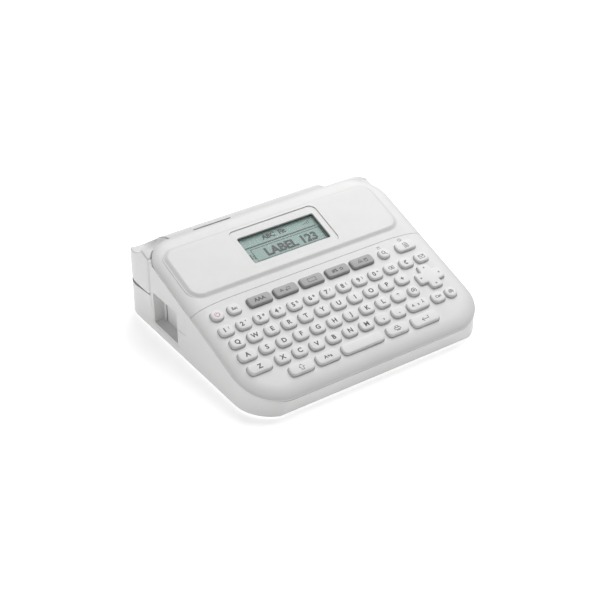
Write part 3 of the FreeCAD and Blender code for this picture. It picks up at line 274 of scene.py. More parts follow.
shell_white = plastic("shell_white", (0.76, 0.76, 0.755), 0.40)
deck_white = plastic("deck_white", (0.80, 0.80, 0.795), 0.38)
key_white = plastic("key_white", (0.82, 0.82, 0.815), 0.33, depth=0.015)
key_grey = plastic("key_grey", (0.36, 0.36, 0.355), 0.36, depth=0.015)
bezel_white = plastic("bezel_white", (0.77, 0.77, 0.765), 0.30, depth=0.012)
legend_grey = plastic("legend_grey", (0.075, 0.075, 0.08), 0.5, grain=5200, depth=0.02)
legend_red = plastic("legend_red", (0.66, 0.20, 0.23), 0.5, grain=5200, depth=0.02)
print("plastics ready")

# %% [markdown]
# ## The top shell
# Both top panels belong to one smooth form, so they are drawn as one plate and parted afterwards.
# A rectangle gets its rounded corners from a vertex bevel. Then the face is inset in small steps, and
# each step lifts it along a quarter of an ellipse, which makes the soft roll down to the seam.
# The narrow foot below is a block of its own: stepping it into the plate's floor would leave a face
# inside the plate, and a boolean on such a mesh can drop whole surfaces without a warning.

# %% the rolled plate
def rounded_rectangle(bm, low, high, corners, level, segments=10):
    """One flat face with four corner radii: front left, front right, rear right, rear left."""
    centre = Vector(((low[0] + high[0]) / 2, (low[1] + high[1]) / 2, level))
    size = Matrix.Diagonal((high[0] - low[0], high[1] - low[1], 1, 1))
    made = bmesh.ops.create_grid(bm, x_segments=1, y_segments=1, size=0.5,
                                 matrix=Matrix.Translation(centre) @ size)
    order = [(-1, -1), (1, -1), (1, 1), (-1, 1)]
    picked = []
    for (u, v), radius in zip(order, corners):
        corner = [vertex for vertex in made["verts"]
                  if (vertex.co.x - centre.x) * u > 0 and (vertex.co.y - centre.y) * v > 0][0]
        picked.append((corner, radius))
    for corner, radius in picked:
        bmesh.ops.bevel(bm, geom=[corner], offset=radius, offset_type="OFFSET", segments=segments,
                        profile=0.5, affect="VERTICES", material=-1)
    bm.faces.ensure_lookup_table()
    return bm.faces[-1]


def raise_face(bm, face, lift):
    """Extrude one face straight out of the plane and return the new top face.

    A lone face stays behind as the floor of the new block, so the block is closed.
    """
    made = bmesh.ops.extrude_face_region(bm, geom=[face])
    top = [item for item in made["geom"] if isinstance(item, bmesh.types.BMFace)][0]
    bmesh.ops.translate(bm, verts=top.verts, vec=(0, 0, lift))
    return top


def step_inward(bm, face, steps):
    """Inset a face again and again; each step is (inward, outward of the plane)."""
    for inward, lift in steps:
        bmesh.ops.inset_region(bm, faces=[face], thickness=inward, depth=0, use_even_offset=True)
        bmesh.ops.translate(bm, verts=face.verts, vec=(0, 0, lift))
    return face


def roll_steps(width, height, count, power=2.0):
    """Steps of a rolled edge: upright at the outside, level at the inside."""
    reach = [1 - math.cos(math.pi / 2 * i / count) for i in range(count + 1)]
    rise = [(1 - (1 - part) ** power) ** (1 / power) for part in reach]
    return [((reach[i + 1] - reach[i]) * width, (rise[i + 1] - rise[i]) * height) for i in range(count)]


LIP = 1.0 * MM
GROOVE_HIGH = 0.55 * MM
GROOVE_DEEP = 1.4 * MM
FOOT_LAP = 0.2 * MM
ROLL_WIDE = 11.5 * MM
FRONT_CORNER = 28 * MM
REAR_RIGHT_CORNER = 26 * MM
REAR_LEFT_CORNER = 21 * MM
FOOT_CORNERS = (26.6 * MM, 26.6 * MM, 24.6 * MM, 19.6 * MM)
plate = bmesh.new()
half_wide = panel_high.x
seam_face = rounded_rectangle(plate, (-half_wide, panel_low.y), (half_wide, rear_high.y),
                              (FRONT_CORNER, FRONT_CORNER, REAR_RIGHT_CORNER, REAR_LEFT_CORNER),
                              -SKIRT + GROOVE_HIGH, 14)
lip_face = raise_face(plate, seam_face, LIP - GROOVE_HIGH)
step_inward(plate, lip_face, roll_steps(ROLL_WIDE, SKIRT - LIP, 12, 1.75))
top_shell = write_piece(plate, "top_shell")
# a narrower foot under the lip leaves a thin dark line where the panels meet the case
foot_bm = bmesh.new()
foot_face = rounded_rectangle(foot_bm, (-half_wide + GROOVE_DEEP, panel_low.y + GROOVE_DEEP),
                              (half_wide - GROOVE_DEEP, rear_high.y - GROOVE_DEEP),
                              FOOT_CORNERS, -SKIRT, 14)
raise_face(foot_bm, foot_face, GROOVE_HIGH + FOOT_LAP)
seam_foot = write_piece(foot_bm, "seam_foot")
print("rolled plate faces", len(top_shell.data.polygons))

# %% [markdown]
# ## The raised plateau
# The display stands on a soft plateau. Its foot starts level with the deck and swells up in an
# S-curve, so that the union with the plate leaves no visible crease.

# %% plateau and pockets
def swell_steps(width, height, count):
    """Steps of a soft shoulder that leaves and arrives level."""
    ease = [3 * (i / count) ** 2 - 2 * (i / count) ** 3 for i in range(count + 1)]
    return [(width / count, (ease[i + 1] - ease[i]) * height) for i in range(count)]


def prism(name, low, high, corners, bottom_level, top_level, segments=6, shoulder=()):
    """Upright block in deck axes, with rounded corners and an optional stepped shoulder."""
    bm = bmesh.new()
    face = rounded_rectangle(bm, low, high, corners, bottom_level, segments)
    top = raise_face(bm, face, top_level - bottom_level)
    step_inward(bm, top, shoulder)
    return write_piece(bm, name)


bezel_low, bezel_high = deck_box("display_bezel")
PLATEAU_RISE = rear_high.z - DECK_LEVEL
PLATEAU_CORNER = 11 * MM
SWELL_WIDE = 4.2 * MM
WALL_MARGIN = 6.5 * MM
PANEL_UNDERSIDE = -2.2 * MM
plateau_low = (-88.2 * MM, rear_low.y + 5.6 * MM)
plateau_high = (86.2 * MM, rear_high.y - 9.4 * MM)
plateau = prism("plateau", plateau_low, plateau_high, [PLATEAU_CORNER] * 4, -1.0 * MM, 0.004 * MM, 8,
                swell_steps(SWELL_WIDE, PLATEAU_RISE - 0.01 * MM, 8))
carve(top_shell, seam_foot, "UNION")
carve(top_shell, plateau, "UNION")
underside = prism("underside", (-half_wide + WALL_MARGIN, panel_low.y + WALL_MARGIN),
                  (half_wide - WALL_MARGIN, rear_high.y - WALL_MARGIN), [19 * MM] * 4, -SKIRT - 1 * MM,
                  PANEL_UNDERSIDE, 8)
carve(top_shell, underside)
print("plateau rise mm", round(PLATEAU_RISE * 1000, 2))

# %% [markdown]
# ## Openings in the shell
# Every opening is measured on the CAD piece that sits in it: the islands of a node's mesh give one
# box per key, and a little play is added. One cutter holds all of them, so one boolean does the work.

# %% key places
def islands(node):
    """Lowest and highest corners, in deck axes, of each loose part of a CAD node."""
    bm = bmesh.new()
    bm.from_mesh(frame["nodes"][node].data)
    bmesh.ops.remove_doubles(bm, verts=bm.verts, dist=2e-6)
    bmesh.ops.transform(bm, matrix=DECK.inverted(), verts=bm.verts)
    left = set(bm.verts)
    boxes = []
    while left:
        stack = [left.pop()]
        members = list(stack)
        while stack:
            for edge in stack.pop().link_edges:
                for vertex in edge.verts:
                    if vertex in left:
                        left.remove(vertex)
                        stack.append(vertex)
                        members.append(vertex)
        low = Vector([min(vertex.co[i] for vertex in members) for i in range(3)])
        high = Vector([max(vertex.co[i] for vertex in members) for i in range(3)])
        boxes.append((low, high))
    bm.free()
    return sorted(boxes, key=lambda pair: pair[0].x)


FLANGE = 0.6 * MM
ROUND_KEYS = {"power_key": 4.3, "search_key": 4.0, "extra_key": 4.1, "option_key": 4.2,
              "function_key_1": 2.3, "function_key_2": 2.3, "function_key_3": 2.3,
              "function_key_4": 2.3, "function_key_5": 2.3}
KEY_ROUND = 3.4
key_nodes = sorted(node for node in frame["nodes"] if "_key" in node)
keys = {}
for node in key_nodes:
    places = []
    for low, high in islands(node):
        places.append(((low.x + FLANGE, low.y + FLANGE), (high.x - FLANGE, high.y - FLANGE)))
    keys[node] = places
KEY_TOP = max(high.z for low, high in islands("space_key"))
KEY_PLAY = 0.35 * MM
print("keys", sum(len(places) for places in keys.values()), "top mm", round(KEY_TOP * 1000, 2))


# %% [markdown]
# ## Cutting
# The key cutter is one mesh with a block for each key. The direction pad's cross is made from two
# rounded bars joined by a boolean, which gives its inner corners for free.

# %% cut the openings
def key_round(node):
    return ROUND_KEYS.get(node, KEY_ROUND) * MM


CROSS_CORNER = 2.4 * MM


def cross_cutter(name, centre, reach, half_arm, low, high):
    """Plus-shaped block with rounded inner and outer corners."""
    bars = []
    for i, (u, v) in enumerate(((reach, half_arm), (half_arm, reach))):
        bars.append(prism(name + "_bar_%d" % i, (centre[0] - u, centre[1] - v),
                          (centre[0] + u, centre[1] + v), [CROSS_CORNER] * 4, low, high, 6))
    carve(bars[0], bars[1], "UNION")
    return bars[0]


pad_low, pad_high = islands("direction_pad")[0]
PAD = ((pad_low.x + pad_high.x) / 2, (pad_low.y + pad_high.y) / 2)
PAD_REACH = (pad_high.x - pad_low.x) / 2 - FLANGE
PAD_ARM = 4.7 * MM
CUT_LOW = -SKIRT - 1 * MM
CUT_HIGH = 6 * MM
cutter_bm = bmesh.new()
for node, places in keys.items():
    for low, high in places:
        hole = rounded_rectangle(cutter_bm, (low[0] - KEY_PLAY, low[1] - KEY_PLAY),
                                 (high[0] + KEY_PLAY, high[1] + KEY_PLAY),
                                 [key_round(node) + KEY_PLAY] * 4, CUT_LOW, 6)
        raise_face(cutter_bm, hole, CUT_HIGH - CUT_LOW)
window_low = Vector((bezel_low.x, bezel_low.y, 0)) - Vector((0.05 * MM, 0.05 * MM, 0))
window_high = Vector((bezel_high.x, bezel_high.y, 0)) + Vector((0.05 * MM, 0.05 * MM, 0))
seat = rounded_rectangle(cutter_bm, window_low[:2], window_high[:2], [5.2 * MM] * 4, CUT_LOW, 8)
raise_face(cutter_bm, seat, CUT_HIGH - CUT_LOW)
key_cutter = write_piece(cutter_bm, "key_cutter")
carve(top_shell, key_cutter)
carve(top_shell, cross_cutter("pad_hole", PAD, PAD_REACH + KEY_PLAY, PAD_ARM + KEY_PLAY, CUT_LOW, CUT_HIGH))
print("shell faces after cutting", len(top_shell.data.polygons))

# %% [markdown]
# ## Parting the two panels
# The seam between the keyboard panel and the display panel runs straight across the deck and bends
# forward at both ends. A strip with that curved edge takes away the rear part of one copy and the
# front part of the other.

# %% part the panels
SEAM = (panel_high.y + rear_low.y) / 2
SEAM_GAP = 0.34 * MM


def seam_strip(name, offset, far):
    """Block whose near edge follows the seam, from there to the far side."""
    bm = bmesh.new()
    made = bmesh.ops.create_grid(bm, x_segments=80, y_segments=1, size=0.5)
    bend_from, bend = 62 * MM, 3.4 * MM
    for vertex in made["verts"]:
        near = abs(vertex.co.y + 0.5) < 1e-6
        vertex.co.x *= 2 * (half_wide + 4 * MM)
        past = max(0.0, abs(vertex.co.x) - bend_from) / (half_wide - bend_from)
        vertex.co.y = SEAM - bend * past ** 2 + offset if near else far
        vertex.co.z = CUT_LOW
    faces = list(bm.faces)
    made = bmesh.ops.extrude_face_region(bm, geom=faces)
    top = [item for item in made["geom"] if isinstance(item, bmesh.types.BMVert)]
    bmesh.ops.translate(bm, verts=top, vec=(0, 0, CUT_HIGH - CUT_LOW))
    return write_piece(bm, name)


display_shell = top_shell.copy()
display_shell.data = top_shell.data.copy()
display_shell.name = "display_panel_skin"
bpy.context.collection.objects.link(display_shell)
keyboard_shell = top_shell
keyboard_shell.name = "keyboard_panel_skin"
carve(keyboard_shell, seam_strip("rear_strip", -SEAM_GAP / 2, rear_high.y + 9 * MM))
carve(display_shell, seam_strip("front_strip", SEAM_GAP / 2, panel_low.y - 9 * MM))
for panel, node in ((keyboard_shell, "keyboard_panel"), (display_shell, "display_panel")):
    panel.data.transform(DECK)
    tidy(panel, 24)
    break_edges(panel, 0.22 * MM, 2, 38)
    dress(panel, "case", deck_white, [node])
    print(panel.name, len(panel.data.polygons))


# %% [markdown]
# ## Key caps
# A cap is an upright wall, a rolled crown and a nearly flat top. Each row of letters moves as one
# group here, so each row is one piece with a cap per key.

# %% key caps
CROWN = 0.95 * MM
key_root = min(low.z for low, high in islands("space_key"))


def cap(bm, low, high, corner):
    face = rounded_rectangle(bm, low, high, [corner] * 4, key_root, 6)
    top = raise_face(bm, face, KEY_TOP - 0.08 * MM - CROWN - key_root)
    step_inward(bm, top, roll_steps(CROWN, CROWN, 5, 2.0) + [(0.9 * MM, 0.08 * MM)])


for node, places in keys.items():
    key_bm = bmesh.new()
    for low, high in places:
        cap(key_bm, low, high, key_round(node))
    piece = write_piece(key_bm, node + "_caps" if len(places) > 1 else node + "_cap", DECK, 50)
    grey = node.startswith("function_key")
    dress(piece, node + "_body", key_grey if grey else key_white, [node])

pad_piece = cross_cutter("direction_pad_cap", PAD, PAD_REACH, PAD_ARM, key_root, KEY_TOP - CROWN)
pad_bm = bmesh.new()
pad_bm.from_mesh(pad_piece.data)
bmesh.ops.dissolve_limit(pad_bm, angle_limit=math.radians(1), verts=pad_bm.verts, edges=pad_bm.edges)
pad_top = max(pad_bm.faces, key=lambda face: face.calc_center_median().z)
step_inward(pad_bm, pad_top, roll_steps(CROWN, CROWN, 5, 2.0))
bpy.data.objects.remove(pad_piece)
pad_piece = write_piece(pad_bm, "direction_pad_cap", DECK, 50)
dress(pad_piece, "pad", key_white, ["direction_pad"])
print("caps made", len(key_nodes) + 1)


# %% [markdown]
# ## Printed marks
# Legends are printed ink: letters come from the built-in font and small icons from strokes. Both are
# turned into meshes, laid on the key's top and made to ride with the key. A stroke is a thin tube
# squeezed almost flat, so its ends stay round.

# %% legend helpers
INK = 0.03 * MM


def text_mesh(text, size, bold=0.033):
    curve = bpy.data.curves.new("text", "FONT")
    curve.body = text
    curve.size = size
    curve.align_x = "CENTER"
    curve.align_y = "CENTER"
    curve.extrude = INK / 2
    curve.offset = size * bold
    curve.resolution_u = 3
    holder = bpy.data.objects.new("text", curve)
    bpy.context.collection.objects.link(holder)
    bpy.context.view_layer.update()
    mesh = bpy.data.meshes.new_from_object(holder.evaluated_get(bpy.context.evaluated_depsgraph_get()))
    bpy.data.objects.remove(holder)
    bpy.data.curves.remove(curve)
    return mesh


def stroke_mesh(strokes, size, width):
    """Strokes in a square from -1 to 1; a stroke that ends where it starts is closed."""
    curve = bpy.data.curves.new("strokes", "CURVE")
    curve.dimensions = "3D"
    curve.bevel_depth = width / 2
    curve.bevel_resolution = 1
    curve.use_fill_caps = True
    for stroke in strokes:
        spline = curve.splines.new("POLY")
        closed = stroke[0] == stroke[-1] and len(stroke) > 2
        points = stroke[:-1] if closed else stroke
        spline.points.add(len(points) - 1)
        for place, (u, v) in zip(spline.points, points):
            place.co = (u * size / 2, v * size / 2, 0, 1)
        spline.use_cyclic_u = closed
    holder = bpy.data.objects.new("strokes", curve)
    bpy.context.collection.objects.link(holder)
    bpy.context.view_layer.update()
    mesh = bpy.data.meshes.new_from_object(holder.evaluated_get(bpy.context.evaluated_depsgraph_get()))
    mesh.transform(Matrix.Diagonal((1, 1, INK / width, 1)))
    bpy.data.objects.remove(holder)
    bpy.data.curves.remove(curve)
    return mesh


def arc(radius, start, stop, count=16, centre=(0, 0)):
    """Points of a circular arc, in degrees."""
    steps = [math.radians(start + (stop - start) * i / count) for i in range(count + 1)]
    points = [(round(centre[0] + radius * math.cos(a), 5), round(centre[1] + radius * math.sin(a), 5))
              for a in steps]
    if abs(stop - start) == 360:
        points[-1] = points[0]
    return points


def frame_of(wide, high):
    return [(-wide, -high), (wide, -high), (wide, high), (-wide, high), (-wide, -high)]


def add_mark(bm, mesh, x, y, level, turn=0.0):
    """Add a flat mark to a bmesh at a place on the deck."""
    start = len(bm.verts)
    bm.from_mesh(mesh)
    bpy.data.meshes.remove(mesh)
    fresh = list(bm.verts)[start:]
    place = Matrix.Translation((x, y, level)) @ Matrix.Rotation(turn, 4, "Z")
    bmesh.ops.transform(bm, matrix=place, verts=fresh)


MARK_LEVEL = KEY_TOP + INK / 2 - 0.005 * MM

# %% [markdown]
# ## Icons
# Each icon is a few strokes in a square from -1 to 1, which is quick to draw and easy to change.

# %% icons
ICONS = {
    "power": [arc(0.8, 125, 415), [(0, 0.25), (0, 1.0)]],
    "shift": [[(-0.9, 0), (0, 0.95), (0.9, 0), (0.4, 0), (0.4, -0.9), (-0.4, -0.9), (-0.4, 0), (-0.9, 0)]],
    "enter": [[(1.1, 0.7), (1.1, -0.25), (-1.1, -0.25)], [(-0.55, 0.3), (-1.15, -0.25), (-0.55, -0.8)]],
    "search": [arc(0.55, 0, 360, centre=(-0.2, 0.25)), [(0.25, -0.2), (0.85, -0.85)]],
    "page": [[(-0.7, -0.9), (-0.7, 0.9), (0.3, 0.9), (0.75, 0.45), (0.75, -0.9), (-0.7, -0.9)],
             [(-0.35, 0.3), (0.3, 0.3)], [(-0.35, -0.1), (0.4, -0.1)], [(-0.35, -0.5), (0.4, -0.5)]],
    "disk": [frame_of(0.75, 0.75), [(-0.4, 0.75), (-0.4, 0.25), (0.4, 0.25), (0.4, 0.75)]],
    "moon": [arc(0.8, 70, 290), arc(0.62, 90, 270, 12, (0.28, 0))],
    "letter": [frame_of(1.0, 0.65), [(-1.0, 0.6), (0, -0.15), (1.0, 0.6)]],
    "erase": [[(-1.1, 0), (-0.5, 0.6), (1.0, 0.6), (1.0, -0.6), (-0.5, -0.6), (-1.1, 0)],
              [(-0.1, 0.28), (0.5, -0.28)], [(-0.1, -0.28), (0.5, 0.28)]],
    "swirl": [arc(0.32, 0, 360), arc(0.85, -50, 230, 20)],
    "print": [[(-1.0, -0.35), (-1.0, 0.3), (1.0, 0.3), (1.0, -0.35), (-1.0, -0.35)],
              [(-0.55, 0.35), (-0.4, 0.9), (0.6, 0.9), (0.5, 0.35)], [(-0.6, -0.65), (0.6, -0.65)]],
    "return": [[(-0.2, 0.5), (0.9, 0.5), (0.9, -0.35), (-0.6, -0.35)],
               [(-0.2, 0.05), (-0.75, -0.35), (-0.2, -0.75)]],
    "frame": [frame_of(1.35, 0.62)],
    "peak": [[(-0.9, -0.6), (0, 0.75), (0.9, -0.6), (-0.9, -0.6)], [(-0.5, -0.2), (0.5, -0.2)]],
    "star": [[(math.cos(math.radians(a)) * r, math.sin(math.radians(a)) * r)
              for a, r in [(90 + 36 * i, 0.85 if i % 2 == 0 else 0.38) for i in range(10)]]],
    "dot": [arc(0.25, 0, 360, 10)],
}
ICONS["star"][0].append(ICONS["star"][0][0])
ICON_WIDTH = 0.55 * MM


def icon_mesh(name, size, width=ICON_WIDTH):
    return stroke_mesh(ICONS[name], size, width)


# %% [markdown]
# ## Legends
# The tables hold what is printed on each key, and a loop does the drawing. A row of keys that moves
# as one body gets one piece of print, so the print travels with it.

# %% legends on single keys
# one entry per mark: (kind, what, size in mm, offset right, offset up)
SINGLE = {
    "power_key": [("icon", "power", 4.2, 0, 0)],
    "escape_key": [("text", "Esc", 3.1, 0, 0)],
    "function_key_1": [("text", "AAA", 4.2, 0, 0)],
    "function_key_2": [("icon", "return", 4.4, 1.2, 0), ("icon", "peak", 3.2, -3.4, 0.3)],
    "function_key_3": [("icon", "frame", 4.6, 0, 0)],
    "function_key_4": [("icon", "star", 3.6, 3.2, 0), ("text", "#%", 3.6, -2.2, 0)],
    "function_key_5": [("icon", "peak", 4.4, -1.6, 0.2), ("icon", "disk", 3.2, 3.0, -0.2)],
    "search_key": [("icon", "search", 4.2, 0, 0)],
    "document_key": [("icon", "page", 4.4, 0, 0)],
    "backspace_key": [("icon", "erase", 4.0, 0, 0)],
    "symbol_key": [("icon", "moon", 4.0, 0, 0)],
    "mode_key": [("icon", "letter", 4.4, 0, 0)],
    "extra_key": [("icon", "swirl", 4.2, 0, 0)],
    "accent_key": [("text", "A", 3.0, -4.4, 0), ("text", "a", 3.0, 0, 0), ("text", "A", 2.4, 4.2, 0.3),
                   ("icon", "dot", 1.6, 4.2, 1.9)],
    "control_key": [("text", "Ctrl", 2.8, 0, 0)],
    "option_key": [("icon", "swirl", 3.6, 0, 0)],
    "shift_key": [("icon", "shift", 4.6, 0, 0)],
    "character_key": [("text", "A+a", 3.6, 0, 0)],
    "print_key": [("icon", "print", 4.6, 0, 0)],
    "enter_key": [("icon", "enter", 4.8, 0, 0)],
}
ROWS = {
    "digit_keys": ("1234567890", '!"#$%&/()='),
    "top_letter_keys": ("QWERTYUIOP+", ""),
    "home_letter_keys": ("ASDFGHJKL*", ""),
    "low_letter_keys": ("ZXCVBNM,.", ""),
}


def centre_of(place):
    (low_x, low_y), (high_x, high_y) = place
    return (low_x + high_x) / 2, (low_y + high_y) / 2


for node, marks in SINGLE.items():
    mark_bm = bmesh.new()
    x, y = centre_of(keys[node][0])
    for kind, what, size, right, up in marks:
        mesh = text_mesh(what, size * MM) if kind == "text" else icon_mesh(what, size * MM)
        add_mark(mark_bm, mesh, x + right * MM, y + up * MM, MARK_LEVEL)
    piece = write_piece(mark_bm, node + "_legend", DECK)
    dress(piece, node + "_body", legend_red if node == "power_key" else legend_grey)
for node, (letters, seconds) in ROWS.items():
    mark_bm = bmesh.new()
    for i, place in enumerate(keys[node]):
        x, y = centre_of(place)
        if i < len(letters):
            shift = -1.3 if seconds else 0
            add_mark(mark_bm, text_mesh(letters[i], 4.8 * MM), x + shift * MM, y, MARK_LEVEL)
        if i < len(seconds):
            add_mark(mark_bm, text_mesh(seconds[i], 2.6 * MM), x + 2.1 * MM, y + 1.0 * MM, MARK_LEVEL)
    piece = write_piece(mark_bm, node + "_legends", DECK)
    dress(piece, node + "_body", legend_grey)
print("row keys", {node: len(keys[node]) for node in ROWS})

# %% [markdown]
# ## Small marks
# The pad carries a dot on each arm, and two keys have a small icon printed on the panel above them.

# %% marks on the pad and the panels
pad_bm = bmesh.new()
for i in range(4):
    angle = math.pi / 2 * i
    add_mark(pad_bm, stroke_mesh([arc(0.12, 0, 360, 10)], 5.6 * MM, 0.6 * MM),
             PAD[0] + math.cos(angle) * PAD_REACH * 0.72, PAD[1] + math.sin(angle) * PAD_REACH * 0.72,
             MARK_LEVEL)
pad_marks = write_piece(pad_bm, "direction_pad_dots", DECK)
dress(pad_marks, "pad", legend_grey)
panel_bm = bmesh.new()
for node, icon, size, shift in (("search_key", "disk", 2.6, 6.6), ("document_key", "print", 3.0, 6.8)):
    x, y = centre_of(keys[node][0])
    add_mark(panel_bm, stroke_mesh(ICONS[icon], size * MM, 0.3 * MM), x, y + shift * MM, INK / 2)
panel_marks = write_piece(panel_bm, "keyboard_panel_marks", DECK)
dress(panel_marks, "case", legend_grey)

# %% [markdown]
# ## Display
# The bezel is a flat frame with a soft step around its window, sunk into the plateau. Below it lie a
# clear lens and the liquid-crystal panel with dark segments on a pale green reflector.

# %% bezel
bezel = prism("display_bezel_skin", bezel_low[:2], bezel_high[:2], [5 * MM] * 4, bezel_low.z - DECK_LEVEL,
              bezel_high.z - DECK_LEVEL - 0.25 * MM, 8, roll_steps(0.5 * MM, 0.25 * MM, 4))
lens_low, lens_high = deck_box("display_lens")
LENS_LAP = 0.85 * MM
view_low = (lens_low.x + LENS_LAP, lens_low.y + LENS_LAP)
view_high = (lens_high.x - LENS_LAP, lens_high.y - LENS_LAP)
carve(bezel, prism("bezel_window", view_low, view_high, [1.2 * MM] * 4, -6 * MM, 6 * MM, 5))
bezel.data.transform(DECK)
tidy(bezel)
break_edges(bezel, 0.3 * MM, 3, 40)
dress(bezel, "case", bezel_white, ["display_bezel"])
print("bezel faces", len(bezel.data.polygons))

# %% [markdown]
# ## Text of the display
# The readout is generic: a status row, a line under it and one row of large letters in a frame.

# %% display segments
lcd_low, lcd_high = deck_box("lcd_panel")
lcd_top = lcd_high.z - DECK_LEVEL
screen_bm = bmesh.new()
mid_x = (view_low[0] + view_high[0]) / 2
mid_y = (view_low[1] + view_high[1]) / 2
wide = view_high[0] - view_low[0]
high = view_high[1] - view_low[1]
SEGMENT = 1.1 * MM
SCREEN_BOLD = 0.05
add_mark(screen_bm, text_mesh("LABEL 123", 9.6 * MM, SCREEN_BOLD), mid_x + wide * 0.06, mid_y - high * 0.2,
         lcd_top + INK)
add_mark(screen_bm, text_mesh("ABC  Fit", 5.4 * MM, SCREEN_BOLD), mid_x - wide * 0.05, mid_y + high * 0.33,
         lcd_top + INK)
add_mark(screen_bm, stroke_mesh([[(-1, 0), (1, 0)]], wide * 0.94, SEGMENT), mid_x, mid_y + high * 0.14,
         lcd_top + INK)
box_strokes = [[(-0.84, -0.29), (0.97, -0.29), (0.97, 0.06), (-0.84, 0.06), (-0.84, -0.29)]]
add_mark(screen_bm, stroke_mesh(box_strokes, wide, 0.8 * MM), mid_x, mid_y - high * 0.02, lcd_top + INK)
add_mark(screen_bm, text_mesh("1:", 6.0 * MM, SCREEN_BOLD), mid_x - wide * 0.455, mid_y - high * 0.2,
         lcd_top + INK)
for i in range(4):
    bar = [[(0, -1), (0, -1 + 0.5 * (i + 1))]]
    add_mark(screen_bm, stroke_mesh(bar, 3.0 * MM, 0.6 * MM), mid_x + wide * (0.34 + 0.025 * i),
             mid_y + high * 0.34, lcd_top + INK)
segments = write_piece(screen_bm, "lcd_segments", DECK)
lcd_ink = plastic("lcd_ink", (0.035, 0.05, 0.05), 0.6, grain=9000, depth=0.01)
dress(segments, "case", lcd_ink)

# %% [markdown]
# ## Shells around the mechanism
# The side cover, the cassette cover and the battery cover keep their CAD shape, and the lower case
# keeps it but for the shoulder beside the cassette cover, which is pressed down a little. Triangles
# are joined into faces first, so that a narrow bevel can run along the real edges and give each one
# the highlight of a moulded part.

# %% shells
SHOULDER_X = 58.25 * MM
SHOULDER_FOOT = 20.8 * MM
SHOULDER_FRONT = 54.5 * MM
SHOULDER_DROP = 0.12


def lower_shoulder(piece):
    """Press the shoulder beside the cover down a little, most at its rear and not at all at its foot."""
    moved = 0
    for vertex in piece.data.vertices:
        place = vertex.co
        if place.x > SHOULDER_X and place.z > SHOULDER_FOOT and place.y > SHOULDER_FRONT:
            place.z -= (place.z - SHOULDER_FOOT) * SHOULDER_DROP
            moved += 1
    print("shoulder points moved", moved)


for node, body, width, slot in (("lower_case", "case", 0.35, "case_white"),
                                ("side_cover", "case", 0.3, "case_white"),
                                ("cassette_cover", "cover", 0.35, "cover_white"),
                                ("battery_cover", "battery_lid", 0.25, "case_white")):
    shell = softened(node, width * MM, 30)
    if node == "lower_case":
        lower_shoulder(shell)
    dress(shell, body, shell_white, [node])
    print(shell.name, "faces", len(shell.data.polygons))

# %% [markdown]
# ## The cutter lever
# The lever is a thumb paddle with a scooped top and soft edges all round. Hard edges could be bevelled
# one by one, but where many meet it is simpler to carve the rough form, rebuild its skin from small
# cubes and smooth it: that rounds every edge by the same few millimetres.

# %% cutter lever
SCOOP_ROUND = 11.5 * MM
SCOOP_PLACE = (-82.8 * MM, 72.6 * MM, 60.3 * MM)
HEEL_ROUND = 9.0 * MM
HEEL_Y = 76.9 * MM
HEEL_Z = 37.3 * MM
LEVER_X = -84 * MM
SKIN_CUBE = 0.45 * MM


def bmesh_piece(name, operator, **settings):
    """Piece made by one bmesh operator."""
    bm = bmesh.new()
    operator(bm, **settings)
    return write_piece(bm, name)


lever = softened("cutter_lever", 0.1 * MM, 30)
lever.modifiers.clear()
carve(lever, bmesh_piece("scoop", bmesh.ops.create_uvsphere, u_segments=64, v_segments=40, radius=SCOOP_ROUND,
                         matrix=Matrix.Translation(SCOOP_PLACE)))
heel_block = bmesh_piece("heel_block", bmesh.ops.create_cube, size=1.0,
                         matrix=Matrix.Translation((LEVER_X, HEEL_Y + 10 * MM, HEEL_Z - 6 * MM))
                         @ Matrix.Diagonal((40 * MM, 20 * MM, 12 * MM, 1)))
carve(heel_block, bmesh_piece("heel_round", bmesh.ops.create_cone, cap_ends=True, segments=96,
                              radius1=HEEL_ROUND, radius2=HEEL_ROUND, depth=60 * MM,
                              matrix=Matrix.Translation((LEVER_X, HEEL_Y, HEEL_Z))
                              @ Matrix.Rotation(math.pi / 2, 4, "Y")))
carve(lever, heel_block)
skin = lever.modifiers.new("skin", "REMESH")
skin.mode = "VOXEL"
skin.voxel_size = SKIN_CUBE
baked(lever)
soften_edges = lever.modifiers.new("soften", "SMOOTH")
soften_edges.factor = 0.6
soften_edges.iterations = 22
baked(lever)
for polygon in lever.data.polygons:
    polygon.use_smooth = True
dress(lever, "lever", shell_white, ["cutter_lever"])
print("lever faces", len(lever.data.polygons))

# %% [markdown]
# ## Materials of the inner parts
# Metals get brushed or plated looks from a stretched noise, and the rubber parts are dark and dull.

# %% materials of the inner parts
def metal(name, colour, roughness=0.3, stretch=(1, 1, 1), scale=600):
    material, tree, shader = node_material(name)
    coordinates = tree.nodes.new("ShaderNodeTexCoord")
    mapping = tree.nodes.new("ShaderNodeMapping")
    mapping.inputs["Scale"].default_value = stretch
    texture = tree.nodes.new("ShaderNodeTexNoise")
    texture.inputs["Scale"].default_value = scale
    texture.inputs["Detail"].default_value = 4
    tree.links.new(coordinates.outputs["Object"], mapping.inputs["Vector"])
    tree.links.new(mapping.outputs["Vector"], texture.inputs["Vector"])
    fac = texture.outputs["Fac"]
    darker = tuple(channel * 0.8 for channel in colour)
    tree.links.new(blend_colours(tree, spread(tree, fac, 0, 1), colour, darker), shader.inputs["Base Color"])
    tree.links.new(spread(tree, fac, roughness - 0.07, roughness + 0.1), shader.inputs["Roughness"])
    bump = tree.nodes.new("ShaderNodeBump")
    bump.inputs["Strength"].default_value = 0.12
    bump.inputs["Distance"].default_value = 0.00002
    tree.links.new(fac, bump.inputs["Height"])
    tree.links.new(bump.outputs["Normal"], shader.inputs["Normal"])
    shader.inputs["Metallic"].default_value = 1.0
    return material


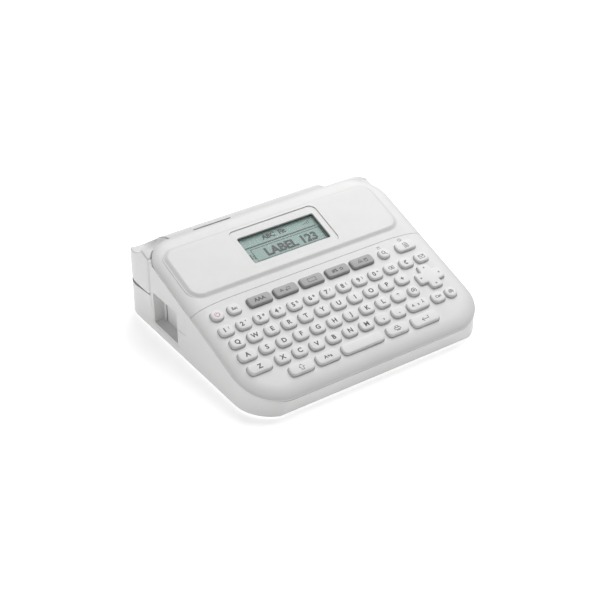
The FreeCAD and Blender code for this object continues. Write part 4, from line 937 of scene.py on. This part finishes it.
def clear_lens(name):
    """Thin acrylic: see-through, with a faint gloss that wanders a little."""
    material, tree, shader = node_material(name)
    haze = noise(tree, 90, 2)
    shader.inputs["Base Color"].default_value = (0.86, 0.92, 0.90, 1)
    shader.inputs["Alpha"].default_value = 0.05
    shader.inputs["IOR"].default_value = 1.49
    tree.links.new(spread(tree, haze.outputs["Fac"], 0.06, 0.12), shader.inputs["Roughness"])
    return material


def liquid_crystal(name):
    """Pale green reflector with a fine weave of cells and a slow drift of tone."""
    material, tree, shader = node_material(name)
    drift = noise(tree, 30, 2)
    reflector = blend_colours(tree, spread(tree, drift.outputs["Fac"], 0, 1), (0.25, 0.40, 0.36),
                              (0.22, 0.36, 0.33))
    tree.links.new(reflector, shader.inputs["Base Color"])
    weave = noise(tree, 3400, 1)
    tree.links.new(spread(tree, weave.outputs["Fac"], 0.34, 0.46), shader.inputs["Roughness"])
    bump = tree.nodes.new("ShaderNodeBump")
    bump.inputs["Strength"].default_value = 0.08
    bump.inputs["Distance"].default_value = 0.00002
    tree.links.new(weave.outputs["Fac"], bump.inputs["Height"])
    tree.links.new(bump.outputs["Normal"], shader.inputs["Normal"])
    return material


steel = (0.56, 0.57, 0.58)
FINISHES = {
    "lens_clear": clear_lens("clear_lens"),
    "lcd_green": liquid_crystal("liquid_crystal"),
    "mat_rubber": plastic("mat_rubber_finish", (0.10, 0.105, 0.11), 0.7, 1800, 0.05),
    "board_green": plastic("board_finish", (0.02, 0.13, 0.06), 0.35, 900, 0.04, 0.08, 0.4),
    "gear_plastic": plastic("acetal", (0.70, 0.67, 0.58), 0.38, 1500, 0.02),
    "frame_steel": metal("zinc_plate", steel, 0.34),
    "motor_steel": metal("motor_can", (0.52, 0.53, 0.54), 0.28, (1, 1, 9), 300),
    "roller_rubber": plastic("roller_finish", (0.02, 0.02, 0.02), 0.75, 3000, 0.05),
    "head_ceramic": plastic("ceramic", (0.16, 0.12, 0.10), 0.22, 700, 0.01, coat=0.5),
    "cassette_dark": plastic("cassette_shell", (0.03, 0.03, 0.033), 0.42),
    "tape_white": plastic("tape_roll", (0.84, 0.83, 0.80), 0.5, 5000, 0.05),
    "blade_steel": metal("blade_ground", (0.66, 0.67, 0.68), 0.2, (1, 30, 1), 200),
    "battery_jacket": plastic("battery_film", (0.02, 0.03, 0.06), 0.22, 500, 0.01, coat=0.6),
    "contact_metal": metal("nickel", (0.68, 0.66, 0.62), 0.25),
    "foot_rubber": plastic("foot_finish", (0.03, 0.03, 0.03), 0.8, 2200, 0.06),
    "socket_black": plastic("socket_finish", (0.015, 0.015, 0.016), 0.5),
    "spring_steel": metal("spring_wire", (0.5, 0.5, 0.52), 0.3, (1, 1, 1), 1500),
}
for name, node in frame["nodes"].items():
    slot_name = node.data.materials[0].name.split(".")[0]
    if slot_name in FINISHES and not node.hide_render:
        node.data.materials[0] = FINISHES[slot_name]
        for polygon in node.data.polygons:
            polygon.use_smooth = True
print("finishes", len(FINISHES))

# %% [markdown]
# ## Floor and light
# A pale floor that fades into a white surround, one large soft light from the upper right and behind,
# a weaker one from the front left, and an even sky: the look of a catalogue picture.

# %% floor and light
floor_mesh = bpy.data.meshes.new("floor")
floor_bm = bmesh.new()
bmesh.ops.create_grid(floor_bm, x_segments=2, y_segments=2, size=6)
floor_bm.to_mesh(floor_mesh)
floor_bm.free()
floor = bpy.data.objects.new("floor", floor_mesh)
bpy.context.collection.objects.link(floor)
floor_material, floor_tree, floor_shader = node_material("floor_paper")
paper = noise(floor_tree, 40, 3)
paper_tone = blend_colours(floor_tree, spread(floor_tree, paper.outputs["Fac"], 0, 1), (0.96, 0.96, 0.96),
                           (0.95, 0.95, 0.95))
floor_tree.links.new(paper_tone, floor_shader.inputs["Base Color"])
floor_tree.links.new(spread(floor_tree, paper.outputs["Fac"], 0.6, 0.7), floor_shader.inputs["Roughness"])
floor_shader.inputs["Emission Color"].default_value = (1, 1, 1, 1)
floor_shader.inputs["Emission Strength"].default_value = 0.5
floor.data.materials.append(floor_material)

world = bpy.data.worlds.new("studio")
world.use_nodes = True
sky = world.node_tree.nodes["Background"]
sky.inputs["Color"].default_value = (1, 1, 1, 1)
sky.inputs["Strength"].default_value = 0.19
bpy.context.scene.world = world


def lamp(name, place, aim, size, power):
    data = bpy.data.lights.new(name, "AREA")
    data.shape = "DISK"
    data.size = size
    data.energy = power
    lamp_object = bpy.data.objects.new(name, data)
    lamp_object.location = place
    lamp_object.rotation_euler = (Vector(place) - Vector(aim)).to_track_quat("Z", "Y").to_euler()
    bpy.context.collection.objects.link(lamp_object)


lamp("top_light", (0.52, 0.34, 0.90), (0, 0, 0.03), 1.1, 12)
lamp("left_light", (-1.35, 0.0, 0.55), (0, 0, 0.03), 0.7, 3.0)
bpy.context.scene.view_settings.view_transform = "Standard"
bpy.context.scene.view_settings.look = "None"
bpy.context.scene.view_settings.exposure = 0.0
